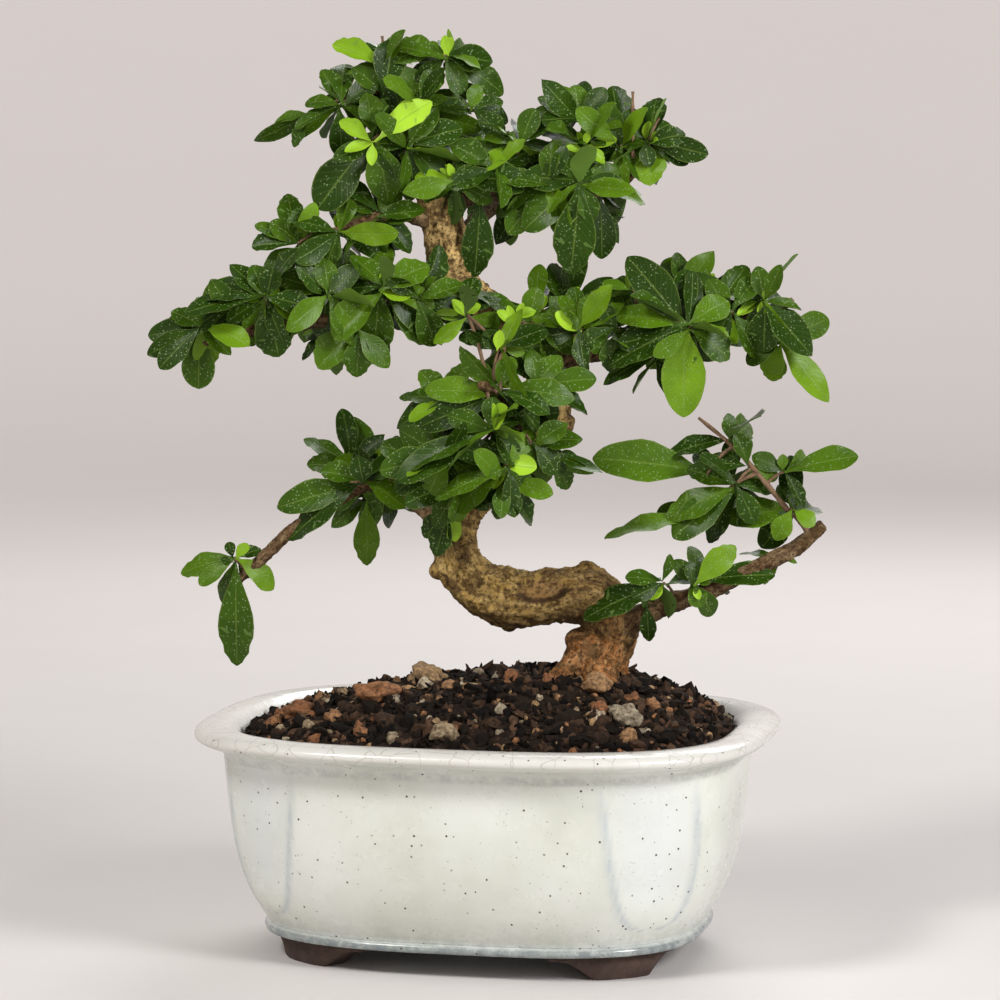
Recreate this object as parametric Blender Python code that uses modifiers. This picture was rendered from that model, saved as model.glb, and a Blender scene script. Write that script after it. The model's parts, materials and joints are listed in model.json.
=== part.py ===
"""A small Fukien tea bonsai with an S-shaped trunk, in a glazed pot on four clay feet.

Metres, +Z up. The origin is on the table under the middle of the pot. The pot's long side lies
along X and its front faces -Y. The tree shows its best side a little to the right of that front.
"""

import math

import bmesh
import bpy
from mathutils import Matrix, Vector
from mathutils.bvhtree import BVHTree

MM = 0.001
GAP = 0.3 * MM  # between pieces that touch

# ---- the pot
POT_LENGTH = 200 * MM  # over the rim
POT_DEPTH = 164 * MM
POT_HEIGHT = 81.5 * MM  # table to rim
CORNER = 3.0  # exponent of the rounded plan: 2 is an ellipse, more is squarer
POT_SIDES = 48
WALL = 6.5 * MM
FLOOR_THICKNESS = 7 * MM
RIM_OVERHANG = 9.7 * MM  # from the wall's top out to the rim's edge
RIM_HEIGHT = 12 * MM  # from the hollow of the neck to the top of the lip
WALL_TAPER = 5 * MM  # how far the wall leans in on its way down
BASE_ROUND = 9.6 * MM  # how far it then turns in near the base
BEAD_HEIGHT = 3.5 * MM
BEAD_PROUD = 1.6 * MM
FLUTE_WIDTH = 36 * MM  # the scooped hollow down each corner
FLUTE_DEPTH = 2.2 * MM
FLUTE_FOOT = 6 * MM  # over the bead
FLUTE_LEAN = math.radians(7)  # how far its foot leans to the pot's end
DRAIN_RADIUS = 7 * MM
DRAIN_SPACING = 72 * MM

# ---- the feet
FOOT_HEIGHT = 8.5 * MM
FOOT_THICKNESS = 11 * MM
FOOT_SETBACK = 1.2 * MM  # inside the pot's base edge
FOOT_HALF_TURN = math.radians(27)  # of the plan's angle, each side of the corner
FOOT_STEPS = 10
FOOT_LIP = 3 * MM  # what is left of its height at its two ends
FOOT_DRAFT = 0.8 * MM  # its face leans in by this on its way down

# ---- the mesh over each drain hole
MESH_SIZE = 24 * MM
MESH_THICKNESS = 1.0 * MM

# ---- the soil
SOIL_EDGE = -2.5 * MM  # against the rim's top
SOIL_CROWN = 15.5 * MM
SOIL_SKEW = 0.5  # the heap is a little higher towards the root

# ---- the tree, drawn for DRAWN_HEIGHT and made TREE_HEIGHT tall above the rim
DRAWN_HEIGHT = 240 * MM
TREE_HEIGHT = 240 * MM
TREE_TURN = math.radians(13)
LEAF_LENGTH = 27 * MM
LEAF_WIDTH_SHARE = 0.48
LEAF_THICKNESS = 0.8 * MM
GOLDEN_ANGLE = math.radians(137.5)

# Wood lines: across (right of the pot's middle), up (over the rim) and towards the viewer, then
# the radius, all in mm on the drawn tree.
TRUNK = [
    (36, -14, 0, 10.5), (36, 4, 0, 11.4), (36, 15, 0, 11.8), (38, 22, 0, 10.8), (41, 28, 0, 9.6),
    (41.5, 35, 1, 9.4), (36, 42.5, 2, 10.4), (25, 43, 3, 9.6), (16, 42, 4, 9.3), (6, 42.5, 4, 10.2),
    (-3, 46, 3, 9.3), (-9.5, 52, 2, 8.6), (-12, 59, 0, 7.9), (-11, 70, -3, 7.5), (-5, 78.5, -6, 7.4),
    (4, 84.5, -8, 7.3), (11.5, 90.5, -8, 7.3), (17, 97, -8, 7.4), (20.3, 104, -7, 7.4), (21.3, 112, -6, 7.4),
    (19.5, 120, -5, 7.4), (15, 127.5, -4, 7.4), (7.5, 135, -2, 7.3), (-2, 142.5, 0, 7.3),
    (-9, 149, 1, 7.4), (-13.4, 156, 1, 7.5), (-15.2, 165, 1, 7.6), (-16.4, 173, 1, 7.5),
    (-18.5, 180, 1, 7.1), (-20.5, 184, 1, 6.2),
]
BRANCHES = {
    "branch_low_right": [(41, 29, 2, 4.6), (52, 36, 7, 4.2), (62, 41, 10, 3.6), (74, 45, 12, 3.2),
                         (86, 51, 12, 3.1), (97, 56, 11, 3.0), (107, 61, 9, 2.9), (116, 68.5, 8, 2.3)],
    "branch_low_left": [(-7, 77, -5, 4.0), (-22, 85, 2, 3.4), (-40, 83.5, 8, 2.9), (-49, 80, 10, 2.7),
                        (-59, 73.5, 11, 2.6), (-69.5, 66, 12, 2.4), (-79, 57, 12, 2.2),
                        (-91, 46.5, 12, 1.5)],
    "branch_mid_left": [(-4, 148, 0, 4.6), (-21, 145, 8, 4.0), (-38, 143, 12, 3.4), (-56, 140.5, 14, 3.1),
                        (-72, 138, 14, 2.7), (-87, 135, 13, 2.2), (-102, 131, 11, 1.5)],
    "branch_mid_right": [(16, 123, -4, 4.6), (32, 128, 3, 4.0), (52, 129.5, 7, 3.5), (73, 134.5, 9, 2.9),
                         (91, 141, 9, 2.3), (105, 146, 8, 1.6)],
    "branch_crown_left": [(-20, 179, 1, 4.8), (-25, 195, 3, 4.0), (-30, 208, 4, 3.2), (-33, 219, 4, 2.4),
                          (-35, 229, 3, 1.5)],
    "branch_crown_right": [(-18, 176, 1, 4.6), (-3, 185, 3, 4.0), (14, 184, 5, 3.4), (31, 183, 6, 2.9),
                           (45, 187, 6, 2.3), (55, 196, 5, 1.5)],
    "branch_upper_left": [(-17, 172, 2, 3.2), (-30, 176, 8, 2.5), (-42, 174, 11, 2.0), (-52, 171, 12, 1.4)],
    "branch_front": [(11, 90, -8, 3.8), (7, 102, 12, 3.3), (2, 115, 26, 2.7), (-3, 119, 38, 1.6)],
    "branch_back": [(19, 117, -6, 3.9), (24, 124, -24, 3.3), (29, 130, -41, 2.6), (24, 136, -56, 1.6)],
    "branch_crown_back": [(-14.5, 161, 0, 3.6), (-6, 172, -18, 3.0), (2, 179, -34, 2.3), (6, 184, -48, 1.5)],
    "branch_low_back": [(-12, 62, 0, 3.6), (-22, 70, -20, 3.0), (-34, 76, -36, 2.3), (-44, 79, -48, 1.5)],
}

# Leafy shoots: name, branch, place along it, heading (across, up, towards), twig length in mm,
# leaves, leaf size against LEAF_LENGTH, how far the leaves open from the twig in degrees.
SHOOTS = [
    ("shoot_tip", "branch_crown_left", 1.0, (0.1, 1, 0.1), 8, 9, 1.0, 80),
    ("shoot_crown_left_outer", "branch_crown_left", 0.62, (-1, 0.1, 0.2), 26, 9, 1.1, 55),
    ("shoot_crown_left_front", "branch_crown_left", 0.50, (-0.1, 0.3, 1), 12, 9, 1.05, 80),
    ("shoot_crown_left_right", "branch_crown_left", 0.72, (1, 0.15, 0.1), 26, 9, 1.05, 60),
    ("shoot_crown_left_back", "branch_crown_left", 0.45, (0.1, 0.35, -1), 16, 7, 1.0, 70),
    ("shoot_crown_right_tip", "branch_crown_right", 1.0, (0.6, 0.7, 0.2), 8, 8, 0.95, 75),
    ("shoot_crown_right_top", "branch_crown_right", 0.72, (-0.1, 1, 0.3), 15, 8, 1.0, 70),
    ("shoot_crown_right_low", "branch_crown_right", 0.62, (0.25, -0.8, 0.6), 7, 6, 1.25, 50),
    ("shoot_crown_right_mid", "branch_crown_right", 0.42, (0.1, 0.8, 0.8), 9, 8, 1.0, 80),
    ("shoot_crown_right_outer", "branch_crown_right", 0.85, (1, 0.0, 0.6), 8, 6, 1.05, 60),
    ("shoot_crown_right_back", "branch_crown_right", 0.55, (0.3, 0.35, -1), 20, 7, 1.0, 65),
    ("shoot_crown_back", "branch_crown_back", 1.0, (0.1, 0.4, -1), 8, 8, 1.0, 75),
    ("shoot_upper_left", "branch_upper_left", 1.0, (-0.9, 0.2, 0.3), 7, 7, 1.05, 75),
    ("shoot_upper_left_low", "branch_upper_left", 0.6, (0, -1, 0.4), 6, 5, 1.1, 50),
    ("shoot_mid_left_inner", "branch_mid_left", 0.36, (-0.1, 0.4, 1), 8, 8, 1.05, 80),
    ("shoot_mid_left_top", "branch_mid_left", 0.55, (-0.2, 1, 0.2), 13, 7, 1.0, 75),
    ("shoot_mid_left_outer", "branch_mid_left", 0.76, (-0.3, 0.8, 0.7), 8, 7, 1.1, 75),
    ("shoot_mid_left_tip", "branch_mid_left", 1.0, (-1, -0.2, 0.1), 7, 8, 1.0, 65),
    ("shoot_mid_left_back", "branch_mid_left", 0.5, (-0.2, 0.2, -1), 20, 7, 1.0, 65),
    ("shoot_mid_right_inner", "branch_mid_right", 0.30, (0.1, 0.7, 0.8), 9, 7, 1.05, 75),
    ("shoot_mid_right_mid", "branch_mid_right", 0.58, (0.1, 0.3, 1), 8, 9, 1.15, 80),
    ("shoot_mid_right_outer", "branch_mid_right", 0.82, (0.3, 0.7, 0.6), 10, 7, 1.1, 75),
    ("shoot_mid_right_tip", "branch_mid_right", 1.0, (1, 0.2, 0.2), 6, 8, 1.1, 75),
    ("shoot_mid_right_back", "branch_mid_right", 0.6, (0.1, 0.2, -1), 20, 7, 1.0, 65),
    ("shoot_front_top", "branch_front", 0.55, (0.1, 1, 0.2), 17, 7, 0.95, 75),
    ("shoot_front_tip", "branch_front", 1.0, (-0.3, 0.5, 1), 7, 9, 1.05, 80),
    ("shoot_front_low", "branch_front", 0.8, (0.7, -0.7, 0.3), 12, 8, 1.05, 65),
    ("shoot_back", "branch_back", 1.0, (0.1, 0.3, -1), 8, 9, 1.05, 75),
    ("shoot_low_left_inner", "branch_low_left", 0.32, (-0.1, 0.6, 0.8), 8, 8, 1.15, 80),
    ("shoot_low_left_tip", "branch_low_left", 0.93, (-0.3, 0.9, 0.3), 7, 8, 1.15, 90),
    ("shoot_low_back", "branch_low_back", 1.0, (-0.5, 0.3, -0.8), 8, 9, 1.05, 75),
    ("shoot_low_right_inner", "branch_low_right", 0.42, (-0.2, 0.8, 0.7), 7, 7, 1.05, 80),
    ("shoot_low_right_long", "branch_low_right", 0.80, (-0.7, 0.75, 0.4), 44, 9, 1.15, 70),
    ("shoot_low_right_tip", "branch_low_right", 0.93, (-0.2, 1, 0.3), 12, 7, 0.95, 75),
]
TWIG_RADIUS = 0.9 * MM
SAG = 0.28  # how far a leaf's own weight turns it down

# Pebbles on the soil: across, towards the viewer, radius, in mm.
PEBBLES = [(-39, 18, 6.5), (-22, -12, 5.5), (-66, 14, 5), (-15, 56, 4.5), (37, 30, 5), (46, 50, 4.5)]

COLOURS = {  # base colour and roughness of each finish
    "glaze": ((0.78, 0.78, 0.70), 0.18),
    "clay": ((0.22, 0.11, 0.07), 0.85),
    "plastic": ((0.03, 0.05, 0.03), 0.6),
    "soil": ((0.035, 0.022, 0.015), 0.95),
    "pebble": ((0.42, 0.28, 0.16), 0.9),
    "bark": ((0.36, 0.24, 0.12), 0.85),
    "leaf": ((0.035, 0.13, 0.02), 0.35),
}


# ---------------------------------------------------------------- helpers
def clear_scene():
    for thing in list(bpy.data.objects):
        bpy.data.objects.remove(thing)


def new_collection(name, hidden=False):
    made = bpy.data.collections.new(name)
    bpy.context.scene.collection.children.link(made)
    made.hide_render = hidden
    return made


def material(name):
    if name in bpy.data.materials:
        return bpy.data.materials[name]
    colour, roughness = COLOURS[name]
    made = bpy.data.materials.new(name)
    made.use_nodes = True
    shader = made.node_tree.nodes["Principled BSDF"]
    shader.inputs["Base Color"].default_value = (*colour, 1)
    shader.inputs["Roughness"].default_value = roughness
    shader.inputs["Metallic"].default_value = 0
    made.diffuse_color = (*colour, 1)
    return made


def object_of(name, shape, finish, home):
    """A mesh object made from a bmesh, smooth but for its sharp edges."""
    bmesh.ops.recalc_face_normals(shape, faces=shape.faces)
    mesh = bpy.data.meshes.new(name)
    shape.to_mesh(mesh)
    shape.free()
    mesh.shade_smooth()
    mesh.set_sharp_from_angle(angle=math.radians(40))
    mesh.materials.append(material(finish))
    made = bpy.data.objects.new(name, mesh)
    home.objects.link(made)
    return made


def as_cutter(thing):
    thing.hide_render = True
    thing.display_type = "WIRE"
    return thing


def boolean(target, operation, cutter=None, group=None):
    """Joins or cuts, then keeps the result as the target's own mesh."""
    step = target.modifiers.new(operation.lower(), "BOOLEAN")
    step.operation = operation
    step.solver = "EXACT"
    if group is None:
        step.object = cutter
    else:
        step.operand_type = "COLLECTION"
        step.collection = group
    bpy.context.view_layer.update()
    graph = bpy.context.evaluated_depsgraph_get()
    mesh = bpy.data.meshes.new_from_object(target.evaluated_get(graph))
    target.modifiers.clear()
    target.data = mesh
    mesh.shade_smooth()
    mesh.set_sharp_from_angle(angle=math.radians(40))


def loft(rings):
    """A closed solid through rings of equally many points, capped at both ends."""
    shape = bmesh.new()
    loops = [[shape.verts.new(point) for point in ring] for ring in rings]
    count = len(loops[0])
    for lower, upper in zip(loops, loops[1:]):
        for i in range(count):
            j = (i + 1) % count
            shape.faces.new((lower[i], lower[j], upper[j], upper[i]))
    shape.faces.new(loops[0][::-1])
    shape.faces.new(loops[-1])
    return shape


def smooth_step(x):
    x = max(0.0, min(1.0, x))
    return x * x * (3 - 2 * x)


# ---------------------------------------------------------------- the pot
def plan_point(inset, angle):
    """A point of the rounded plan, that far inside the rim's edge."""
    power = 2 / CORNER
    c, s = math.cos(angle), math.sin(angle)
    x = (POT_LENGTH / 2 - inset) * math.copysign(abs(c) ** power, c)
    y = (POT_DEPTH / 2 - inset) * math.copysign(abs(s) ** power, s)
    return Vector((x, y, 0))


def plan_angles():
    return [2 * math.pi * i / POT_SIDES for i in range(POT_SIDES)]


def wall_inset(z):
    """How far the wall's outside is inside the rim's edge, at a height."""
    low = FOOT_HEIGHT + BEAD_HEIGHT
    high = POT_HEIGHT - RIM_HEIGHT
    down = 1 - max(0.0, min(1.0, (z - low) / (high - low)))
    return RIM_OVERHANG + WALL_TAPER * down + BASE_ROUND * down**4


def flute(point, z):
    """How far the corner's scooped hollow sinks the wall at a point.

    The hollow is as wide as FLUTE_WIDTH under the rim and closes to a round foot over the bead.
    """
    foot = FOOT_HEIGHT + BEAD_HEIGHT + FLUTE_FOOT
    down = 1 - max(0.0, min(1.0, (z - foot) / (POT_HEIGHT - RIM_HEIGHT - foot)))
    half = FLUTE_WIDTH / 2 * (1 - down**2.3) ** (1 / 2.3)
    corner = plan_point(wall_inset(z), math.pi / 4 - FLUTE_LEAN * down)
    aside = math.hypot(abs(point.x) - corner.x, abs(point.y) - corner.y)
    if aside >= half:
        return 0.0
    return FLUTE_DEPTH * (1 - (aside / half) ** 2) * smooth_step(3 * (1 - down))


def pot_ring(inset, z, fluted=False):
    ring = []
    for angle in plan_angles():
        point = plan_point(inset, angle)
        if fluted:
            point -= point.normalized() * flute(point, z)
        ring.append((point.x, point.y, z))
    return ring


def floor_top():
    return FOOT_HEIGHT + FLOOR_THICKNESS


def inner_inset(z):
    return wall_inset(z) + WALL


def make_pot(home, cutters):
    bead_low = FOOT_HEIGHT
    bead_top = FOOT_HEIGHT + BEAD_HEIGHT
    base = wall_inset(bead_top)
    neck = POT_HEIGHT - RIM_HEIGHT
    rings = [
        pot_ring(base + 1.5 * MM, bead_low),
        pot_ring(base - BEAD_PROUD * 0.7, bead_low + BEAD_HEIGHT * 0.22),
        pot_ring(base - BEAD_PROUD, bead_low + BEAD_HEIGHT * 0.55),
        pot_ring(base, bead_top),
    ]
    for share in (0.07, 0.18, 0.34, 0.55, 0.8):
        z = bead_top + (neck - bead_top) * share
        rings.append(pot_ring(wall_inset(z), z, fluted=True))
    lip = [(0, 1), (0.3, 0.9), (0.52, 0.35), (0.68, 0.04), (0.82, 0.02), (0.95, 0.22), (1, 0.55)]
    for up, inward in lip:
        rings.append(pot_ring(RIM_OVERHANG * inward, neck + RIM_HEIGHT * up))
    rings.append(pot_ring(RIM_OVERHANG + WALL * 0.35, POT_HEIGHT - 1.2 * MM))
    rings.append(pot_ring(inner_inset(neck), neck + RIM_HEIGHT * 0.5))
    for share in (1, 0.5, 0.2, 0.08):
        z = floor_top() + (neck - floor_top()) * share
        rings.append(pot_ring(inner_inset(z), z))
    rings.append(pot_ring(inner_inset(floor_top()) + 1.5 * MM, floor_top()))
    pot = object_of("pot", loft(rings), "glaze", home)
    for side in (-1, 1):
        hole = bmesh.new()
        bmesh.ops.create_cone(
            hole, cap_ends=True, segments=16, radius1=DRAIN_RADIUS, radius2=DRAIN_RADIUS,
            depth=6 * FLOOR_THICKNESS,
        )
        bmesh.ops.translate(hole, verts=hole.verts, vec=(side * DRAIN_SPACING / 2, 0, floor_top()))
        cutter = as_cutter(object_of("drain_cutter", hole, "clay", cutters))
        boolean(pot, "DIFFERENCE", cutter)
    return pot


def make_foot(name, side_x, side_y, home):
    """A bracket foot that follows the base round one corner, flat below and scooped at its ends."""
    outer = wall_inset(FOOT_HEIGHT + BEAD_HEIGHT) + 1.5 * MM + FOOT_SETBACK
    rings = []
    for step in range(FOOT_STEPS + 1):
        across = 2 * step / FOOT_STEPS - 1
        angle = math.pi / 4 + across * FOOT_HALF_TURN
        scoop = max(0.0, abs(across) - 0.5)
        lift = (FOOT_HEIGHT - FOOT_LIP) * math.sin(scoop * math.pi)
        low, high = lift, FOOT_HEIGHT - GAP
        back = outer + FOOT_THICKNESS
        sides = [(outer, high), (outer + FOOT_DRAFT, low), (back, low), (back, high)]
        ring = []
        for inset, z in sides:
            point = plan_point(inset, angle)
            ring.append((side_x * point.x, side_y * point.y, z))
        rings.append(ring)
    return object_of(name, loft(rings), "clay", home)


def make_drain_mesh(name, side, home):
    shape = bmesh.new()
    bmesh.ops.create_grid(shape, x_segments=5, y_segments=5, size=MESH_SIZE / 2)
    cell = MESH_SIZE / 5
    holes = [
        face for face in shape.faces
        if all(abs(abs(c) / cell - 1) < 0.2 for c in face.calc_center_median()[:2])
    ]
    bmesh.ops.delete(shape, geom=holes, context="FACES")
    height = floor_top() + GAP
    bmesh.ops.translate(shape, verts=shape.verts, vec=(side * DRAIN_SPACING / 2, 0, height))
    sheet = object_of(name, shape, "plastic", home)
    thick = sheet.modifiers.new("thickness", "SOLIDIFY")
    thick.thickness = MESH_THICKNESS
    thick.offset = 1
    return sheet


# ---------------------------------------------------------------- the tree's own directions
def tree_way(across, up, forward):
    c, s = math.cos(TREE_TURN), math.sin(TREE_TURN)
    return Vector((across * c + forward * s, across * s - forward * c, up))


def tree_point(across, up, forward):
    """A place on the drawn tree, in mm, as a place on the real one."""
    scale = MM * TREE_HEIGHT / DRAWN_HEIGHT
    return tree_way(across, up, forward) * scale + Vector((0, 0, POT_HEIGHT))


# ---------------------------------------------------------------- the soil and its pebbles
def soil_height(x, y):
    inset = inner_inset(POT_HEIGHT - RIM_HEIGHT)
    a, b = POT_LENGTH / 2 - inset, POT_DEPTH / 2 - inset
    out = min(1.0, (abs(x / a) ** CORNER + abs(y / b) ** CORNER) ** (1 / CORNER))
    heap = (SOIL_CROWN - SOIL_EDGE) * (1 - out**2.3) * (1 + SOIL_SKEW * x / a)
    ripple = 1.1 * MM * math.sin(x / (9 * MM) + 1) * math.cos(y / (11 * MM))
    return POT_HEIGHT + SOIL_EDGE + heap + ripple * min(1.0, 3 * (1 - out))


def make_soil(home):
    neck = POT_HEIGHT - RIM_HEIGHT
    bottom = floor_top() + MESH_THICKNESS + 2 * GAP
    rings = [pot_ring(inner_inset(bottom) + 3 * GAP + 1.5 * MM, bottom)]
    for share in (0.1, 0.22, 0.5, 1):
        z = bottom + (neck - bottom) * share
        rings.append(pot_ring(inner_inset(z) + 3 * GAP, z))
    edge = inner_inset(neck) + 2 * GAP
    for share in (0.0, 0.08, 0.2, 0.36, 0.55, 0.75, 0.92):
        ring = []
        for angle in plan_angles():
            point = plan_point(edge, angle) * (1 - share)
            ring.append((point.x, point.y, soil_height(point.x, point.y)))
        rings.append(ring)
    return object_of("soil", loft(rings), "soil", home)


def make_pebble(name, across, forward, radius, grown, home):
    place = tree_way(across * MM, 0, forward * MM)
    place.z = soil_height(place.x, place.y) + 0.25 * radius * MM
    shape = bmesh.new()
    bmesh.ops.create_icosphere(shape, subdivisions=2, radius=radius * MM)
    for vert in shape.verts:
        east, north = vert.co.x / (radius * MM), vert.co.y / (radius * MM)
        lump = 1 + 0.12 * math.sin(9 * east + across) * math.cos(7 * north)
        squash = Vector((1.15 * lump, 0.95 * lump, 0.75 * lump))
        vert.co = vert.co * squash
        vert.co += vert.co.normalized() * grown
    bmesh.ops.translate(shape, verts=shape.verts, vec=place)
    return object_of(name, shape, "pebble", home)


# ---------------------------------------------------------------- wood
def smooth_line(rows, steps):
    """Points and radii on a smooth curve through the drawn rows."""
    points = [tree_point(*row[:3]) for row in rows]
    radii = [row[3] * MM * TREE_HEIGHT / DRAWN_HEIGHT for row in rows]
    line = []
    for i in range(len(points) - 1):
        before = points[max(i - 1, 0)]
        after = points[min(i + 2, len(points) - 1)]
        for k in range(steps):
            t = k / steps
            start, end = points[i], points[i + 1]
            bend = (after - start) * 0.5
            lead = (end - before) * 0.5
            place = (
                start * (2 * t**3 - 3 * t**2 + 1) + lead * (t**3 - 2 * t**2 + t)
                + end * (3 * t**2 - 2 * t**3) + bend * (t**3 - t**2)
            )
            line.append((place, radii[i] + (radii[i + 1] - radii[i]) * t))
    line.append((points[-1], radii[-1]))
    return line


def place_on(line, share):
    """Place, direction and radius at a share of a line's points."""
    at = share * (len(line) - 1)
    i = min(int(at), len(line) - 2)
    t = at - i
    (start, r0), (end, r1) = line[i], line[i + 1]
    return start.lerp(end, t), (end - start).normalized(), r0 + (r1 - r0) * t


def tube(name, line, resolution, finish, home, grown=0.0):
    """A round stick along a line, as a closed mesh."""
    curve = bpy.data.curves.new(name, "CURVE")
    curve.dimensions = "3D"
    curve.bevel_depth = MM
    curve.bevel_resolution = resolution
    curve.use_fill_caps = True
    spline = curve.splines.new("POLY")
    spline.points.add(len(line) - 1)
    for point, (place, radius) in zip(spline.points, line):
        point.co = (*place, 1)
        point.radius = (radius + grown) / MM
    bent = bpy.data.objects.new(name + "_line", curve)
    home.objects.link(bent)
    bpy.context.view_layer.update()
    graph = bpy.context.evaluated_depsgraph_get()
    mesh = bpy.data.meshes.new_from_object(bent.evaluated_get(graph))
    bpy.data.objects.remove(bent)
    shape = bmesh.new()
    shape.from_mesh(mesh)
    bpy.data.meshes.remove(mesh)
    bmesh.ops.remove_doubles(shape, verts=shape.verts, dist=1e-6)
    return object_of(name, shape, finish, home)


# ---------------------------------------------------------------- leaves
def leaf_shape(base, way, face, length, thick):
    """One blade: pointed at both ends, widest past its middle, and arched a little."""
    side = way.cross(face).normalized()
    face = side.cross(way).normalized()
    width = length * LEAF_WIDTH_SHARE
    shape = bmesh.new()
    root = shape.verts.new(base)
    tip = shape.verts.new(base + way * length - face * 0.10 * length)
    rings = []
    for along, half, arch in ((0.42, 0.38, 0.03), (0.80, 0.46, -0.02)):
        middle = base + way * along * length + face * arch * length
        ring = (
            side * half * width,
            face * thick / 2,
            -side * half * width,
            -face * thick / 2,
        )
        rings.append([shape.verts.new(middle + offset) for offset in ring])
    for i in range(4):
        j = (i + 1) % 4
        shape.faces.new((root, rings[0][j], rings[0][i]))
        shape.faces.new((rings[0][i], rings[0][j], rings[1][j], rings[1][i]))
        shape.faces.new((tip, rings[1][i], rings[1][j]))
    bmesh.ops.recalc_face_normals(shape, faces=shape.faces)
    return shape


def shape_tree(shape):
    bmesh.ops.triangulate(shape, faces=shape.faces)
    return BVHTree.FromBMesh(shape)


def object_tree(thing):
    shape = bmesh.new()
    shape.from_mesh(thing.data)
    found = shape_tree(shape)
    shape.free()
    return found


def leaf_ways(axis, count, opening, phase):
    """Directions round a twig, each a golden angle on from the last and opening towards its base."""
    aside = axis.orthogonal().normalized()
    other = axis.cross(aside)
    for i in range(count):
        turn = phase + GOLDEN_ANGLE * i
        share = i / max(1, count - 1)
        spread = math.radians(opening) * (1.25 - 0.75 * share)
        out = aside * math.cos(turn) + other * math.sin(turn)
        yield share, axis * math.cos(spread) + out * math.sin(spread)


def settled_leaf(base, way, axis, length, placed):
    """The blade, turned and at last shortened until it is clear of everything already placed."""
    up = Vector((0, 0, 1))
    for size in (1.0, 0.85, 0.7, 0.55, 0.4, 0.3, 0.2):
        for turn in (0, 20, -20, 40, -40, 65, -65, 100, -100, 150):
            heading = way.copy()
            heading.rotate(Matrix.Rotation(math.radians(turn), 3, axis))
            heading = (heading + Vector((0, 0, -SAG))).normalized()
            face = up + heading.cross(up).cross(heading) * 0.2 + axis * 0.3
            if abs(heading.dot(face.normalized())) > 0.95:
                face = axis.orthogonal()
            trial = leaf_shape(base, heading, face, length * size + 2 * GAP, LEAF_THICKNESS + 2 * GAP)
            found = shape_tree(trial)
            trial.free()
            if not any(found.overlap(other) for other in placed):
                return leaf_shape(base, heading, face, length * size, LEAF_THICKNESS)
    return None


def make_twig(row, line, home):
    """The twig of a leafy shoot, standing on its branch, with its own base and tip."""
    name, _, share, heading, twig_length = row[:5]
    scale = TREE_HEIGHT / DRAWN_HEIGHT
    place, along, radius = place_on(line, share)
    axis = tree_way(*heading).normalized()
    twig = TWIG_RADIUS * scale
    cosine = abs(axis.dot(along))
    sine = math.sqrt(max(1e-6, 1 - cosine * cosine))
    if share == 1.0 and cosine > 0.3:
        start = (2 * GAP + twig * sine) / cosine
    else:
        start = (radius + 2 * GAP + twig * cosine) / sine
    base = place + axis * start
    tip = base + axis * twig_length * MM * scale
    line = [(base, twig), (base.lerp(tip, 0.5), twig * 0.9), (tip, twig * 0.7)]
    stick = tube(name, line, 0, "leaf", home)
    return stick, base, tip


def add_leaves(row, stick, base, tip, placed, cutters):
    """Joins a shoot's leaves to its twig, each one settled clear of every other piece."""
    name, _, _, _, _, count, size, opening = row
    scale = TREE_HEIGHT / DRAWN_HEIGHT
    axis = (tip - base).normalized()
    group = bpy.data.collections.new(name + "_leaves")
    cutters.children.link(group)
    phase = sum(map(ord, name)) * 0.7
    for number, (up_twig, way) in enumerate(leaf_ways(axis, count, opening, phase)):
        bud = base.lerp(tip, 0.30 + 0.66 * up_twig)
        uneven = 1 + 0.1 * math.sin(5 * phase + 3 * number)
        length = LEAF_LENGTH * scale * size * (1.0 - 0.35 * up_twig) * uneven
        blade = settled_leaf(bud, way, axis, length, placed)
        if blade is not None:
            as_cutter(object_of(f"{name}_leaf_{number}", blade, "leaf", group))
    boolean(stick, "UNION", group=group)


# ---------------------------------------------------------------- the whole bonsai
def centre_on_origin(home):
    """Moves every piece so that the origin is under the middle of the whole bonsai."""
    bpy.context.view_layer.update()
    corners = [Vector(corner) for thing in home.objects for corner in thing.bound_box]
    middle_x = (min(c.x for c in corners) + max(c.x for c in corners)) / 2
    middle_y = (min(c.y for c in corners) + max(c.y for c in corners)) / 2
    for thing in home.objects:
        thing.location = (-middle_x, -middle_y, 0)


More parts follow.
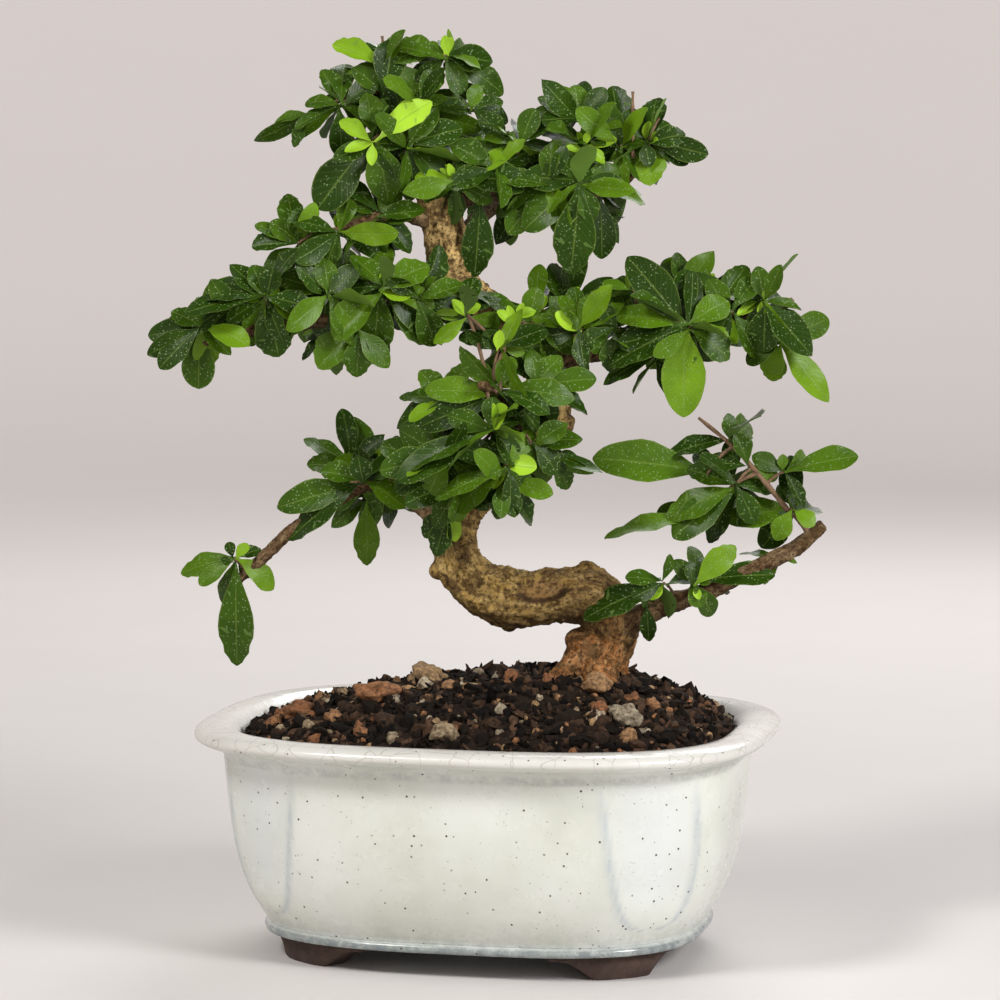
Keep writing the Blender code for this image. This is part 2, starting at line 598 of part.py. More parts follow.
def build():
    clear_scene()
    home = new_collection("bonsai")
    cutters = new_collection("cutters", hidden=True)
    pot = make_pot(home, cutters)
    for depth_name, side_y in (("front", -1), ("back", 1)):
        for side_name, side_x in (("left", -1), ("right", 1)):
            make_foot(f"foot_{depth_name}_{side_name}", side_x, side_y, home)
    make_drain_mesh("drain_mesh_left", -1, home)
    make_drain_mesh("drain_mesh_right", 1, home)

    soil = make_soil(home)
    trunk_line = smooth_line(TRUNK, 2)
    trunk = tube("trunk", trunk_line, 2, "bark", home)
    sockets = bpy.data.collections.new("soil_sockets")
    cutters.children.link(sockets)
    as_cutter(tube("trunk_socket", trunk_line, 2, "bark", sockets, grown=2 * GAP))
    placed = [object_tree(pot), object_tree(trunk)]
    for number, (across, forward, radius) in enumerate(PEBBLES, 1):
        pebble = make_pebble(f"pebble_{number}", across, forward, radius, 0.0, home)
        as_cutter(make_pebble(f"pebble_{number}_socket", across, forward, radius, GAP, sockets))
        placed.append(object_tree(pebble))
    boolean(soil, "DIFFERENCE", group=sockets)
    placed.append(object_tree(soil))

    trunk_room = as_cutter(tube("trunk_room", trunk_line, 2, "bark", cutters, grown=GAP))
    lines = {}
    for name, rows in BRANCHES.items():
        lines[name] = smooth_line(rows, 2)
        branch = tube(name, lines[name], 1, "bark", home)
        boolean(branch, "DIFFERENCE", trunk_room)
        placed.append(object_tree(branch))
    twigs = {row[0]: make_twig(row, lines[row[1]], home) for row in SHOOTS}
    solid = {name: object_tree(twig[0]) for name, twig in twigs.items()}
    for row in SHOOTS:
        others = placed + [tree for name, tree in solid.items() if name != row[0]]
        add_leaves(row, *twigs[row[0]], others, cutters)
        solid[row[0]] = object_tree(twigs[row[0]][0])
    centre_on_origin(home)


build()
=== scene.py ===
# %% [markdown]
# # A small Fukien tea bonsai in a cream pot
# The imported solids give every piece's true place and size. This lesson dresses them: a glazed pot
# with scooped corners, bare clay feet, a mound of bark and grit, an old twisting trunk, and some
# hundreds of small glossy leaves. Everything rides on one body, because nothing on the plant moves.

# %% Load the fixed frame
import json
import math
import random

import bmesh
import bpy
import numpy as np
from mathutils import Matrix, Vector, noise

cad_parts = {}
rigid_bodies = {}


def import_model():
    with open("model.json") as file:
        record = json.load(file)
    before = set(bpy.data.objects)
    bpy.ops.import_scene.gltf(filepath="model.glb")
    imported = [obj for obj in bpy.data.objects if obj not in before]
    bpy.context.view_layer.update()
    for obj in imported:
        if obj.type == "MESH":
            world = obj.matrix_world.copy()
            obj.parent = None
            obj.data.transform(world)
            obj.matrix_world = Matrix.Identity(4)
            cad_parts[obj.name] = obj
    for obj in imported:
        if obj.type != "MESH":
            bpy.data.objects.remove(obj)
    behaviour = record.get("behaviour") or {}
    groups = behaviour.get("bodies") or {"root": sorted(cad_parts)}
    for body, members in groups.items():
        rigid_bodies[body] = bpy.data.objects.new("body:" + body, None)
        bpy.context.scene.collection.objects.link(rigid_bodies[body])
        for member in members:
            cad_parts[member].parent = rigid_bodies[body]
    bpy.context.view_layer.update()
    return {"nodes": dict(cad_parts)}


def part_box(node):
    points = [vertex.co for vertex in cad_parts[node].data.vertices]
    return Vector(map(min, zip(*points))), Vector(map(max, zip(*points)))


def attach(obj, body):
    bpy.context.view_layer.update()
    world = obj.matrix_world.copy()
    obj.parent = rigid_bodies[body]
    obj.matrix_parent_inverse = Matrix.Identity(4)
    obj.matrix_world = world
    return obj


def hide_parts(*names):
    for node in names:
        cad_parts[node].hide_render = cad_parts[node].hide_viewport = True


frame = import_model()
MM = 0.001

# %% [markdown]
# ## Places that everything else is measured from
# The pot's own box says where its middle, its rim and its base are. The tree was drawn on a sheet
# that faces the viewer: across, up from the rim, and towards the viewer. That sheet is turned a
# little to the right of the pot's front, so one function turns drawn places into real ones.

# %% The pot's box and the tree's sheet
pot_low, pot_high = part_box("pot")
POT_MIDDLE = (pot_low + pot_high) / 2
RIM_TOP = pot_high.z
POT_BASE = pot_low.z
POT_LENGTH = 200 * MM
POT_DEPTH = 164 * MM
CORNER = 3.0  # exponent of the rounded plan
TREE_TURN = math.radians(13)


def sheet_way(across, up, forward):
    """A direction on the drawn sheet as a direction in the world."""
    c, s = math.cos(TREE_TURN), math.sin(TREE_TURN)
    return Vector((across * c + forward * s, across * s - forward * c, up))


def sheet_point(across, up, forward=0.0):
    """A place on the drawn sheet, in mm, as a place in the world."""
    return sheet_way(across, up, forward) * MM + Vector((POT_MIDDLE.x, POT_MIDDLE.y, RIM_TOP))


print("pot", [round(v, 4) for v in POT_MIDDLE], "rim at", round(RIM_TOP, 4))

# %% [markdown]
# ## The camera and the light first
# A camera placed early lets every later step be looked at as the viewer sees it. It stands well
# above the rim, looks a little down, and faces the tree's best side. Two soft windows light the
# tree from the upper left and the upper right, with a faint lamp in front, one behind, and a pale
# room all round.

# %% Camera
VIEW_DISTANCE = 1.30
CAMERA_HEIGHT = 0.2825
CAMERA_DROP = math.radians(5.48)
CAMERA_ASIDE = 3.5 * MM
LENS = 134.6
camera_data = bpy.data.cameras.new("camera")
camera_data.sensor_width = 36
camera_data.lens = LENS
camera = bpy.data.objects.new("camera", camera_data)
bpy.context.scene.collection.objects.link(camera)
camera.location = Vector((POT_MIDDLE.x, POT_MIDDLE.y, CAMERA_HEIGHT))
camera.location += sheet_way(CAMERA_ASIDE, 0, VIEW_DISTANCE)
camera.rotation_euler = (math.pi / 2 - CAMERA_DROP, 0, TREE_TURN)
bpy.context.scene.camera = camera
print("camera at", [round(v, 3) for v in camera.location])


# %% Lights and the pale room
def soft_light(name, across, up, forward, size, power, tint):
    """A square lamp that faces the middle of the tree and isn't seen itself."""
    lamp = bpy.data.lights.new(name, "AREA")
    lamp.size = size
    lamp.energy = power
    lamp.color = tint
    holder = bpy.data.objects.new(name, lamp)
    bpy.context.scene.collection.objects.link(holder)
    holder.location = sheet_point(0, 0) + sheet_way(across, up, forward)
    aim = sheet_point(0, 80) - holder.location
    holder.rotation_euler = aim.to_track_quat("-Z", "Y").to_euler()
    holder.visible_camera = False


soft_light("window_left", -0.75, 1.05, 0.70, 0.32, 13, (1.0, 0.98, 0.94))
soft_light("window_right", 0.90, 0.70, 0.85, 0.40, 16, (0.99, 0.99, 1.0))
soft_light("fill_front", 0.4, 0.35, 1.4, 0.9, 1.5, (1.0, 0.99, 0.98))
soft_light("back_light", 0.3, 0.9, -1.0, 0.7, 9, (1.0, 1.0, 1.0))
room = bpy.data.worlds.new("pale_room")
bpy.context.scene.world = room
room.use_nodes = True
walls = room.node_tree.nodes["Background"]
walls.inputs["Color"].default_value = (0.86, 0.84, 0.83, 1)
walls.inputs["Strength"].default_value = 0.16
bpy.context.scene.view_settings.view_transform = "Standard"

# %% [markdown]
# ## Small tools for meshes and materials
# Two kinds of helper come up again and again: one that turns a bmesh into a finished piece, and one
# that wires shader nodes. A finished piece keeps its object at the origin, with its place in the
# mesh, so that patterns on Object coordinates stay put.


# %% Mesh helpers
def finished(name, shape, finish, smooth_angle=60):
    """A piece from a bmesh: normals out, smooth shaded, one material."""
    bmesh.ops.recalc_face_normals(shape, faces=shape.faces)
    return placed(name, mesh_from(name, shape), finish, smooth_angle)


def placed(name, mesh, finish, smooth_angle=60):
    """An object at the origin that shows this mesh."""
    mesh.shade_smooth()
    mesh.set_sharp_from_angle(angle=math.radians(smooth_angle))
    mesh.materials.clear()
    mesh.materials.append(finish)
    piece = bpy.data.objects.new(name, mesh)
    bpy.context.scene.collection.objects.link(piece)
    return piece


def join_loops(shape, loops):
    """Faces between each loop of points and the next."""
    for lower, upper in zip(loops, loops[1:]):
        for i in range(len(lower)):
            j = (i + 1) % len(lower)
            shape.faces.new((lower[i], lower[j], upper[j], upper[i]))


def close_loops(shape, loops):
    """A closed skin through the loops, capped at both ends."""
    join_loops(shape, loops)
    shape.faces.new(loops[0][::-1])
    shape.faces.new(loops[-1])


def loft(rings):
    """A closed skin through rings of equally many places."""
    shape = bmesh.new()
    close_loops(shape, [[shape.verts.new(point) for point in ring] for ring in rings])
    return shape


def mesh_from(name, shape):
    """Turns a bmesh into a mesh and frees it."""
    mesh = bpy.data.meshes.new(name)
    shape.to_mesh(mesh)
    shape.free()
    return mesh


def mark(mesh, name, values, kind="FLOAT", field="value"):
    """Stores one value for each point, which a material or a node tree reads."""
    mesh.attributes.new(name, kind, "POINT").data.foreach_set(field, values)


def plain_mesh(name, source):
    """The evaluated object as a mesh of its own, with its modifiers used up."""
    bpy.context.view_layer.update()
    graph = bpy.context.evaluated_depsgraph_get()
    mesh = bpy.data.meshes.new_from_object(source.evaluated_get(graph))
    mesh.name = name
    return mesh


def smooth_step(x):
    x = max(0.0, min(1.0, x))
    return x * x * (3 - 2 * x)


# %% Material helpers
def wired(tree, kind, links, settings):
    """Adds a node to any tree; links are (input, source socket or plain value)."""
    made = tree.nodes.new(kind)
    for key, value in settings.items():
        setattr(made, key, value)
    for socket, source in links:
        if isinstance(source, bpy.types.NodeSocket):
            tree.links.new(source, made.inputs[socket])
        else:
            made.inputs[socket].default_value = source
    return made


class Paint:
    """A Principled material and short ways to wire patterns into it."""

    def __init__(self, name, roughness=0.5, **sockets):
        self.material = bpy.data.materials.new(name)
        self.material.use_nodes = True
        self.tree = self.material.node_tree
        self.shader = self.tree.nodes["Principled BSDF"]
        self.shader.inputs["Roughness"].default_value = roughness
        for socket, value in sockets.items():
            self.shader.inputs[socket.replace("_", " ")].default_value = value

    def node(self, kind, links=(), **settings):
        return wired(self.tree, kind, links, settings)

    def place(self):
        """Object coordinates in mm."""
        where = self.node("ShaderNodeTexCoord")
        scale = (1000, 1000, 1000)
        return self.node("ShaderNodeMapping", [(0, where.outputs["Object"]), (3, scale)]).outputs[0]

    def noise(self, where, size, detail=3.0, rough=0.55):
        links = [("Vector", where), ("Scale", 1 / size), ("Detail", detail), ("Roughness", rough)]
        return self.node("ShaderNodeTexNoise", links).outputs["Fac"]

    def ramp(self, source, *stops):
        """A colour ramp; stops are (position, (r, g, b)) or (position, grey)."""
        made = self.node("ShaderNodeValToRGB", [(0, source)])
        ramp = made.color_ramp
        while len(ramp.elements) < len(stops):
            ramp.elements.new(0.5)
        for element, (at, colour) in zip(ramp.elements, stops):
            element.position = at
            grey = (colour, colour, colour)
            element.color = (*(colour if isinstance(colour, tuple) else grey), 1)
        return made.outputs["Color"]

    def mix(self, amount, first, second):
        """Two colours mixed; each is a source or plain (r, g, b)."""
        links = [(0, amount)]
        for socket, source in ((6, first), (7, second)):
            links.append((socket, (*source, 1) if isinstance(source, tuple) else source))
        return self.node("ShaderNodeMix", links, data_type="RGBA").outputs[2]

    def maths(self, how, first, second=0.5):
        return self.node("ShaderNodeMath", [(0, first), (1, second)], operation=how).outputs[0]

    def times(self, first, second):
        return self.maths("MULTIPLY", first, second)

    def plus(self, first, second):
        return self.maths("ADD", first, second)

    def cells(self, where, scale, **settings):
        """Distances in a pattern of cells, that many to a millimetre."""
        links = [("Vector", where), ("Scale", scale)]
        return self.node("ShaderNodeTexVoronoi", links, **settings).outputs["Distance"]

    def attribute(self, name):
        return self.node("ShaderNodeAttribute", attribute_name=name).outputs["Fac"]

    def colour(self, source):
        self.tree.links.new(source, self.shader.inputs["Base Color"])

    def roughness(self, source):
        self.tree.links.new(source, self.shader.inputs["Roughness"])

    def bump(self, height, strength, depth_mm):
        links = [("Height", height), ("Strength", strength), ("Distance", depth_mm * MM)]
        made = self.node("ShaderNodeBump", links)
        self.tree.links.new(made.outputs[0], self.shader.inputs["Normal"])


print("helpers ready")

# %% [markdown]
# ## The floor
# A plain pale table top that only catches the shadow, so nothing competes with the tree.


# %% Floor
FLOOR_RADIUS = 5.2
FLOOR_RINGS = 40
FLOOR_SIDES = 96
WALL_START = 1.9
WALL_RUN = 3.6
WALL_HEIGHT = 2.6


def make_floor():
    """A wide table top that rises far away into a pale wall, so no edge shows from any side."""
    finish = Paint("pale_floor", roughness=0.8)
    where = finish.place()
    finish.colour(finish.mix(finish.noise(where, 90), (0.58, 0.555, 0.54), (0.61, 0.585, 0.57)))
    reach = finish.node("ShaderNodeVectorMath", [(0, where)], operation="LENGTH").outputs["Value"]
    far = finish.maths("DIVIDE", reach, FLOOR_RADIUS / MM)
    glow = finish.ramp(
        far, (0.07, (0, 0, 0)), (0.22, (0.23, 0.208, 0.20)), (0.45, (0.40, 0.362, 0.35)),
        (0.9, (0.52, 0.47, 0.455)),
    )
    finish.tree.links.new(glow, finish.shader.inputs["Emission Color"])
    finish.shader.inputs["Emission Strength"].default_value = 1.0
    rings = []
    turns = [2 * math.pi * k / FLOOR_SIDES for k in range(FLOOR_SIDES)]
    for i in range(FLOOR_RINGS + 1):
        radius = 0.02 + FLOOR_RADIUS * (i / FLOOR_RINGS) ** 1.4
        height = WALL_HEIGHT * smooth_step((radius - WALL_START) / WALL_RUN)
        rings.append([(radius * math.cos(turn), radius * math.sin(turn), height) for turn in turns])
    shape = bmesh.new()
    loops = [[shape.verts.new(point) for point in ring] for ring in rings]
    shape.faces.new(loops[0])
    for inner, outer in zip(loops, loops[1:]):
        for k in range(FLOOR_SIDES):
            n = (k + 1) % FLOOR_SIDES
            shape.faces.new((inner[k], outer[k], outer[n], inner[n]))
    for face in shape.faces:
        if face.normal.z < 0:
            face.normal_flip()
    floor = placed("floor", mesh_from("floor", shape), finish.material)
    return floor


floor = make_floor()
print("floor", len(floor.data.vertices), "vertices")

# %% [markdown]
# ## The pot
# The real pot is pressed stoneware: an oval-rectangular plan, walls that lean in and then turn
# under, a rolled lip over a hollow neck, a raised bead at the base, and a scooped hollow down each
# corner that ends in a round foot. A loft of rings makes all of it, because each ring is one
# formula: the plan, drawn in by a profile, and sunk where a hollow passes. A finer loft than the
# CAD solid's brings out the lip's roll and the hollows' soft edges.

# %% The pot's own sizes
RIM_OVERHANG = 9.7 * MM
RIM_HEIGHT = 12 * MM
WALL_TAPER = 5 * MM
BASE_ROUND = 9.6 * MM
BEAD_HEIGHT = 3.5 * MM
BEAD_PROUD = 1.6 * MM
WALL = 6.5 * MM
FLOOR_THICKNESS = 7 * MM
FLUTE_WIDTH = 36 * MM
FLUTE_DEPTH = 2.6 * MM
FLUTE_FOOT = 6 * MM
FLUTE_LEAN = math.radians(7)
FLUTE_TURN = math.radians(2.5)
NECK = RIM_TOP - RIM_HEIGHT
BEAD_TOP = POT_BASE + BEAD_HEIGHT
POT_FLOOR = POT_BASE + FLOOR_THICKNESS


def plan_point(inset, angle):
    """A point of the rounded plan, that far inside the rim's edge, about the pot's middle."""
    power = 2 / CORNER
    c, s = math.cos(angle), math.sin(angle)
    x = (POT_LENGTH / 2 - inset) * math.copysign(abs(c) ** power, c)
    y = (POT_DEPTH / 2 - inset) * math.copysign(abs(s) ** power, s)
    return Vector((x, y, 0))


def even_angles(count):
    """Angles whose plan points lie evenly round the pot."""
    fine = [2 * math.pi * i / 2000 for i in range(2001)]
    spots = [plan_point(0, angle) for angle in fine]
    run = [0.0]
    for a, b in zip(spots, spots[1:]):
        run.append(run[-1] + (b - a).length)
    wanted = [run[-1] * i / count for i in range(count)]
    return list(np.interp(wanted, run, fine))


def on_pot(point, z):
    """A place measured from the pot's middle, as one in the world."""
    return (point.x + POT_MIDDLE.x, point.y + POT_MIDDLE.y, z)


def wall_inset(z):
    """How far inside the rim's edge the wall stands at a height."""
    down = 1 - max(0.0, min(1.0, (z - BEAD_TOP) / (NECK - BEAD_TOP)))
    return RIM_OVERHANG + WALL_TAPER * down + BASE_ROUND * down**4


def flute(point, z):
    """Two shares for a corner's hollow: how deep it is here, and how near its edge is."""
    foot = BEAD_TOP + FLUTE_FOOT
    down = 1 - max(0.0, min(1.0, (z - foot) / (NECK - foot)))
    half = FLUTE_WIDTH / 2 * (1 - down**3) ** (1 / 3)
    corner = plan_point(wall_inset(z), math.pi / 4 + FLUTE_TURN - FLUTE_LEAN * down)
    aside = math.hypot(abs(point.x) - corner.x, abs(point.y) - corner.y)
    if half <= 0:
        return 0.0, 0.0
    fade = 1 - 0.75 * smooth_step((z - NECK + 16 * MM) / (18 * MM))
    edge = math.exp(-(((aside - half) / (1.5 * MM)) ** 2)) * fade
    if aside >= half:
        return 0.0, edge
    deep = (1 - (aside / half) ** 2) ** 0.8 * smooth_step(3 * (1 - down))
    return deep * (0.55 + 0.45 * fade), edge


def bulge(at, centre, half, height):
    """A rounded ridge across a profile."""
    off = (at - centre) / half
    return height * math.sqrt(max(0.0, 1 - off * off))


# %% The pot's mesh, and marks for where glaze pools and where a hollow is
# the lip's roll: share of the rim's height, then share of the way in
LIP_OUTSIDE = (
    (0.10, 1), (0.22, 0.94), (0.33, 0.83), (0.41, 0.66), (0.47, 0.46), (0.52, 0.28), (0.57, 0.14),
    (0.63, 0.05), (0.70, 0.0), (0.78, 0.0), (0.85, 0.05), (0.91, 0.15), (0.955, 0.30),
    (0.985, 0.48), (1.0, 0.70), (0.995, 0.92),
)
LIP_INSIDE = ((0.955, 0.25), (0.88, 0.5), (0.78, 0.72), (0.66, 0.88), (0.5, 0.97))
POT_SIDES = 288
DRAIN_RADIUS = 7 * MM


def make_pot(finish):
    """The pot as one loft; each row of its profile is inset, height, and whether hollows cut it."""
    angles = even_angles(POT_SIDES)
    profile = [(wall_inset(BEAD_TOP) + 1.5 * MM, POT_BASE, False)]
    for i in range(1, 9):
        z = POT_BASE + BEAD_HEIGHT * i / 8
        swell = bulge(i / 8, 0.5, 0.5, BEAD_PROUD)
        profile.append((wall_inset(BEAD_TOP) - swell, z, False))
    for i in range(1, 57):
        z = BEAD_TOP + (NECK - BEAD_TOP) * (i / 56) ** 1.15
        profile.append((wall_inset(z), z, True))
    for up, inward in LIP_OUTSIDE:
        profile.append((RIM_OVERHANG * inward, NECK + RIM_HEIGHT * up, False))
    for up, inward in LIP_INSIDE:
        profile.append((RIM_OVERHANG + WALL * inward, NECK + RIM_HEIGHT * up, False))
    for i in range(12):
        z = NECK + (POT_FLOOR - NECK) * i / 12
        profile.append((wall_inset(z) + WALL, z, False))
    profile.append((wall_inset(POT_FLOOR) + WALL + 1.5 * MM, POT_FLOOR, False))
    rings, marks, hollows = [], [], []
    for inset, z, fluted in profile:
        ring = []
        for angle in angles:
            point = plan_point(inset, angle)
            sunk, edge = flute(point, z) if fluted else (0.0, 0.0)
            marks.append(edge)
            hollows.append(sunk)
            point -= point.normalized() * FLUTE_DEPTH * sunk
            wobble = 0.25 * MM * noise.noise(Vector((point.x, point.y, z)) * 28)
            point += point.normalized() * wobble
            ring.append(on_pot(point, z))
        rings.append(ring)
    pot = finished("pot_glazed", loft(rings), finish, 50)
    mark(pot.data, "pooled", marks)
    mark(pot.data, "scooped", hollows)
    return pot


def drill_drains(pot):
    """Cuts the two drain holes through the pot's floor."""
    for node in ("drain_mesh_left", "drain_mesh_right"):
        low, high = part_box(node)
        shape = bmesh.new()
        bmesh.ops.create_cone(
            shape, cap_ends=True, segments=40, radius1=DRAIN_RADIUS, radius2=DRAIN_RADIUS, depth=30 * MM
        )
        middle = (low + high) / 2
        bmesh.ops.translate(shape, verts=shape.verts, vec=(middle.x, middle.y, POT_BASE + 8 * MM))
        drill = finished("drill", shape, pot.data.materials[0])
        cut = pot.modifiers.new("drain", "BOOLEAN")
        cut.object = drill
        cut.operation = "DIFFERENCE"
        cut.solver = "EXACT"
        mesh = plain_mesh("pot_glazed", pot)
        pot.modifiers.clear()
        pot.data = mesh
        bpy.data.objects.remove(drill)


# %% [markdown]
# The glaze is an ivory cream, faintly green, with small iron specks and a few pinholes. It runs thin
# and blue-grey where it pools along the hollows' edges and over the base bead, and it crazes on the
# lip. Light and shade are painted in as well: a pale highlight along the top of the bead, shade on
# the lower wall, and a band of shade under the lip's roll. The specks are two layers of cells cut off
# near their middles; the blue comes from the marks that the mesh carries.


# %% Glaze
def glaze():
    paint = Paint("cream_glaze", roughness=0.2, Coat_Weight=0.3, Coat_Roughness=0.08, IOR=1.5)
    where = paint.place()
    cloud = paint.noise(where, 38, 4)
    cream = paint.ramp(
        cloud, (0.32, (0.56, 0.58, 0.51)), (0.52, (0.64, 0.66, 0.60)), (0.70, (0.70, 0.72, 0.68))
    )
    height = paint.node("ShaderNodeSeparateXYZ", [(0, where)]).outputs[2]
    height = paint.maths("DIVIDE", height, 80.0)
    patchy = paint.ramp(paint.noise(where, 4, 6, 0.75), (0.38, 0.0), (0.60, 1.0))
    # painted highlight: a pale blue-white band along the top of the base bead
    bead_highlight = paint.ramp(height, (0.146, 0.0), (0.154, 0.85), (0.160, 0.85), (0.172, 0.0))
    bead_dark = paint.ramp(height, (0.118, 1.0), (0.140, 0.95), (0.153, 0.0))
    highlit_cream = paint.mix(bead_highlight, cream, (0.74, 0.77, 0.76))
    speckle = paint.plus(paint.times(patchy, 0.4), 0.55)
    base = paint.mix(paint.times(bead_dark, speckle), highlit_cream, (0.075, 0.105, 0.125))
    # painted shade: the wall is greyed towards the bottom, where it turns under, mottled by the glaze's
    # patches
    low_wall_shade = paint.ramp(height, (0.15, 0.32), (0.28, 0.0))
    base = paint.mix(paint.times(low_wall_shade, patchy), base, (0.26, 0.29, 0.28))
    hollow = paint.mix(paint.times(paint.attribute("scooped"), 0.55), base, (0.64, 0.68, 0.69))
    strength = paint.plus(paint.times(patchy, 0.3), 0.34)
    edge = paint.times(paint.attribute("pooled"), strength)
    pooled = paint.mix(edge, hollow, (0.30, 0.36, 0.43))
    top = paint.ramp(height, (0.945, 0.0), (0.985, 0.75))
    lip = paint.mix(top, pooled, (0.58, 0.56, 0.53))
    # painted shade: a grey band on the underside of the lip's roll, mottled by the glaze's patches
    shade_under_lip = paint.ramp(height, (0.868, 0.0), (0.880, 0.42), (0.905, 0.42), (0.925, 0.0))
    lip = paint.mix(paint.times(shade_under_lip, patchy), lip, (0.26, 0.29, 0.30))
    specks = paint.ramp(paint.cells(where, 0.26), (0.085, 1.0), (0.120, 0.0))
    dust = paint.ramp(paint.cells(where, 0.62), (0.08, 0.75), (0.16, 0.0))
    sparse = paint.ramp(paint.noise(where, 9), (0.40, 0.0), (0.50, 1.0))
    sparser = paint.ramp(paint.noise(where, 3.5), (0.50, 0.0), (0.58, 1.0))
    marked = paint.mix(paint.times(specks, sparse), lip, (0.055, 0.035, 0.022))
    dusted = paint.mix(paint.times(dust, sparser), marked, (0.22, 0.18, 0.12))
    cracks = paint.cells(where, 0.11, feature="DISTANCE_TO_EDGE")
    craze = paint.ramp(cracks, (0.006, 0.6), (0.018, 0.0))
    crazed = paint.mix(paint.times(craze, top), dusted, (0.20, 0.16, 0.13))
    paint.colour(crazed)
    paint.roughness(paint.ramp(paint.noise(where, 16, 3), (0.35, 0.18), (0.70, 0.32)))
    ripple = paint.plus(paint.noise(where, 7, 2), paint.times(specks, -0.35))
    paint.bump(ripple, 0.25, 0.5)
    return paint.material


pot = make_pot(glaze())
drill_drains(pot)
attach(pot, "root")
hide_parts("pot")
print("pot", len(pot.data.polygons), "faces")

# %% [markdown]
# ## The feet
# Each foot is a bracket of bare clay under a corner, flat where it stands and scooped up to a point
# at both ends. It follows the base bead round the corner, so it is lofted along the same plan.


# %% Bare clay
def bare_clay():
    paint = Paint("bare_clay", roughness=0.88)
    where = paint.place()
    cloud = paint.noise(where, 9, 5, 0.7)
    body = paint.ramp(cloud, (0.3, (0.030, 0.016, 0.011)), (0.7, (0.078, 0.045, 0.034)))
    grit = paint.ramp(paint.cells(where, 1.1), (0.08, 0.6), (0.20, 0.0))
    paint.colour(paint.mix(grit, body, (0.15, 0.10, 0.08)))
    paint.bump(paint.noise(where, 1.1, 6, 0.75), 0.6, 0.5)
    return paint.material


# %% Feet
FOOT_HALF_TURN = math.radians(27)
FOOT_THICK = 11  # mm
FOOT_STEPS = 48


def make_foot(node, side_x, side_y, finish):
    """One bracket foot, with the sides of the pot that it stands under as signs."""
    outer = wall_inset(BEAD_TOP) + 2.7 * MM
    top = POT_BASE - 0.3 * MM
    rings = []
    for step in range(FOOT_STEPS + 1):
        across = 2 * step / FOOT_STEPS - 1
        angle = math.pi / 4 + across * FOOT_HALF_TURN
        reach = max(0.0, (abs(across) - 0.44) / 0.56)
        low = (top - 1.6 * MM) * math.sin(min(1.0, reach * 1.08) * math.pi / 2) ** 1.15
        low += 0.35 * MM * math.exp(-(((reach - 0.62) / 0.12) ** 2))
        section = [
            (0, top), (-0.2, top - 0.8 * MM), (0.1, (top + low) / 2), (0.7, low + 0.9 * MM),
            (1.4, low), (FOOT_THICK - 1.4, low), (FOOT_THICK, low + 0.9 * MM), (FOOT_THICK, top),
        ]
        ring = []
        for inward, z in section:
            point = plan_point(outer + inward * MM, angle)
            point += point.normalized() * 0.3 * MM * noise.noise(Vector((point.x, point.y, z)) * 220)
            ring.append((side_x * point.x + POT_MIDDLE.x, side_y * point.y + POT_MIDDLE.y, z))
        rings.append(ring)
    foot = finished(node + "_clay", loft(rings), finish, 35)
    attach(foot, "root")
    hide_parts(node)
    return foot


clay = bare_clay()
for depth_name, side_y in (("front", -1), ("back", 1)):
    for side_name, side_x in (("left", -1), ("right", 1)):
        made = make_foot(f"foot_{depth_name}_{side_name}", side_x, side_y, clay)
        print(made.name, len(made.data.polygons), "faces")

# %% [markdown]
# ## The drain meshes
# The two squares of plastic mesh inside keep their CAD shape, which is right already. They only need
# a finish: black plastic, dulled by soil.


# %% Drain meshes
def mesh_plastic():
    paint = Paint("mesh_plastic", roughness=0.55)
    grime = paint.noise(paint.place(), 3, 4)
    paint.colour(paint.mix(grime, (0.015, 0.016, 0.015), (0.07, 0.055, 0.04)))
    return paint.material


plastic = mesh_plastic()
for node in ("drain_mesh_left", "drain_mesh_right"):
    sheet = frame["nodes"][node]
    sheet.data.materials.clear()
    sheet.data.materials.append(plastic)
print("drain meshes painted")

# %% [markdown]
# ## Geometry Nodes trees from short words
# Chips, grit and leaves all repeat, so Geometry Nodes place them. Every tree here ends the same
# way: instances are made real, because an exported model can't hold instances, and the material is
# set. A small class keeps the wiring short.


# %% A tree builder for Geometry Nodes
class Grower:
    """A Geometry Nodes tree with named inputs, which ends in Realize Instances and Set Material."""

    def __init__(self, name, **inputs):
        self.tree = bpy.data.node_groups.new(name, "GeometryNodeTree")
        self.sockets = {}
        self.tree.interface.new_socket("Geometry", in_out="INPUT", socket_type="NodeSocketGeometry")
        self.tree.interface.new_socket("Geometry", in_out="OUTPUT", socket_type="NodeSocketGeometry")
        for label, kind in inputs.items():
            made = self.tree.interface.new_socket(label, in_out="INPUT", socket_type="NodeSocket" + kind)
            self.sockets[label] = made.identifier
        self.group = self.tree.nodes.new("NodeGroupInput")

    def given(self, label):
        return self.group.outputs[label]

    def node(self, kind, links=(), **settings):
        return wired(self.tree, kind, links, settings)

    def named(self, name, kind):
        made = self.node("GeometryNodeInputNamedAttribute", [("Name", name)], data_type=kind)
        return made.outputs["Attribute"]

    def finish(self, instances):
        real = self.node("GeometryNodeRealizeInstances", [("Geometry", instances)])
        links = [(0, real.outputs[0]), ("Material", self.given("Finish"))]
        coated = self.node("GeometryNodeSetMaterial", links)
        out = self.tree.nodes.new("NodeGroupOutput")
        self.tree.links.new(coated.outputs[0], out.inputs[0])

    def grow(self, name, seed_mesh, smooth_angle=60, drop=(), **values):
        """Runs the tree on a mesh and returns the finished piece."""
        holder = bpy.data.objects.new(name + "_seed", seed_mesh)
        bpy.context.scene.collection.objects.link(holder)
        step = holder.modifiers.new("grow", "NODES")
        step.node_group = self.tree
        for label, value in values.items():
            step[self.sockets[label]] = value
        mesh = plain_mesh(name, holder)
        for attribute in drop:
            if attribute in mesh.attributes:
                mesh.attributes.remove(mesh.attributes[attribute])
        bpy.data.objects.remove(holder)
        return placed(name, mesh, values["Finish"], smooth_angle)


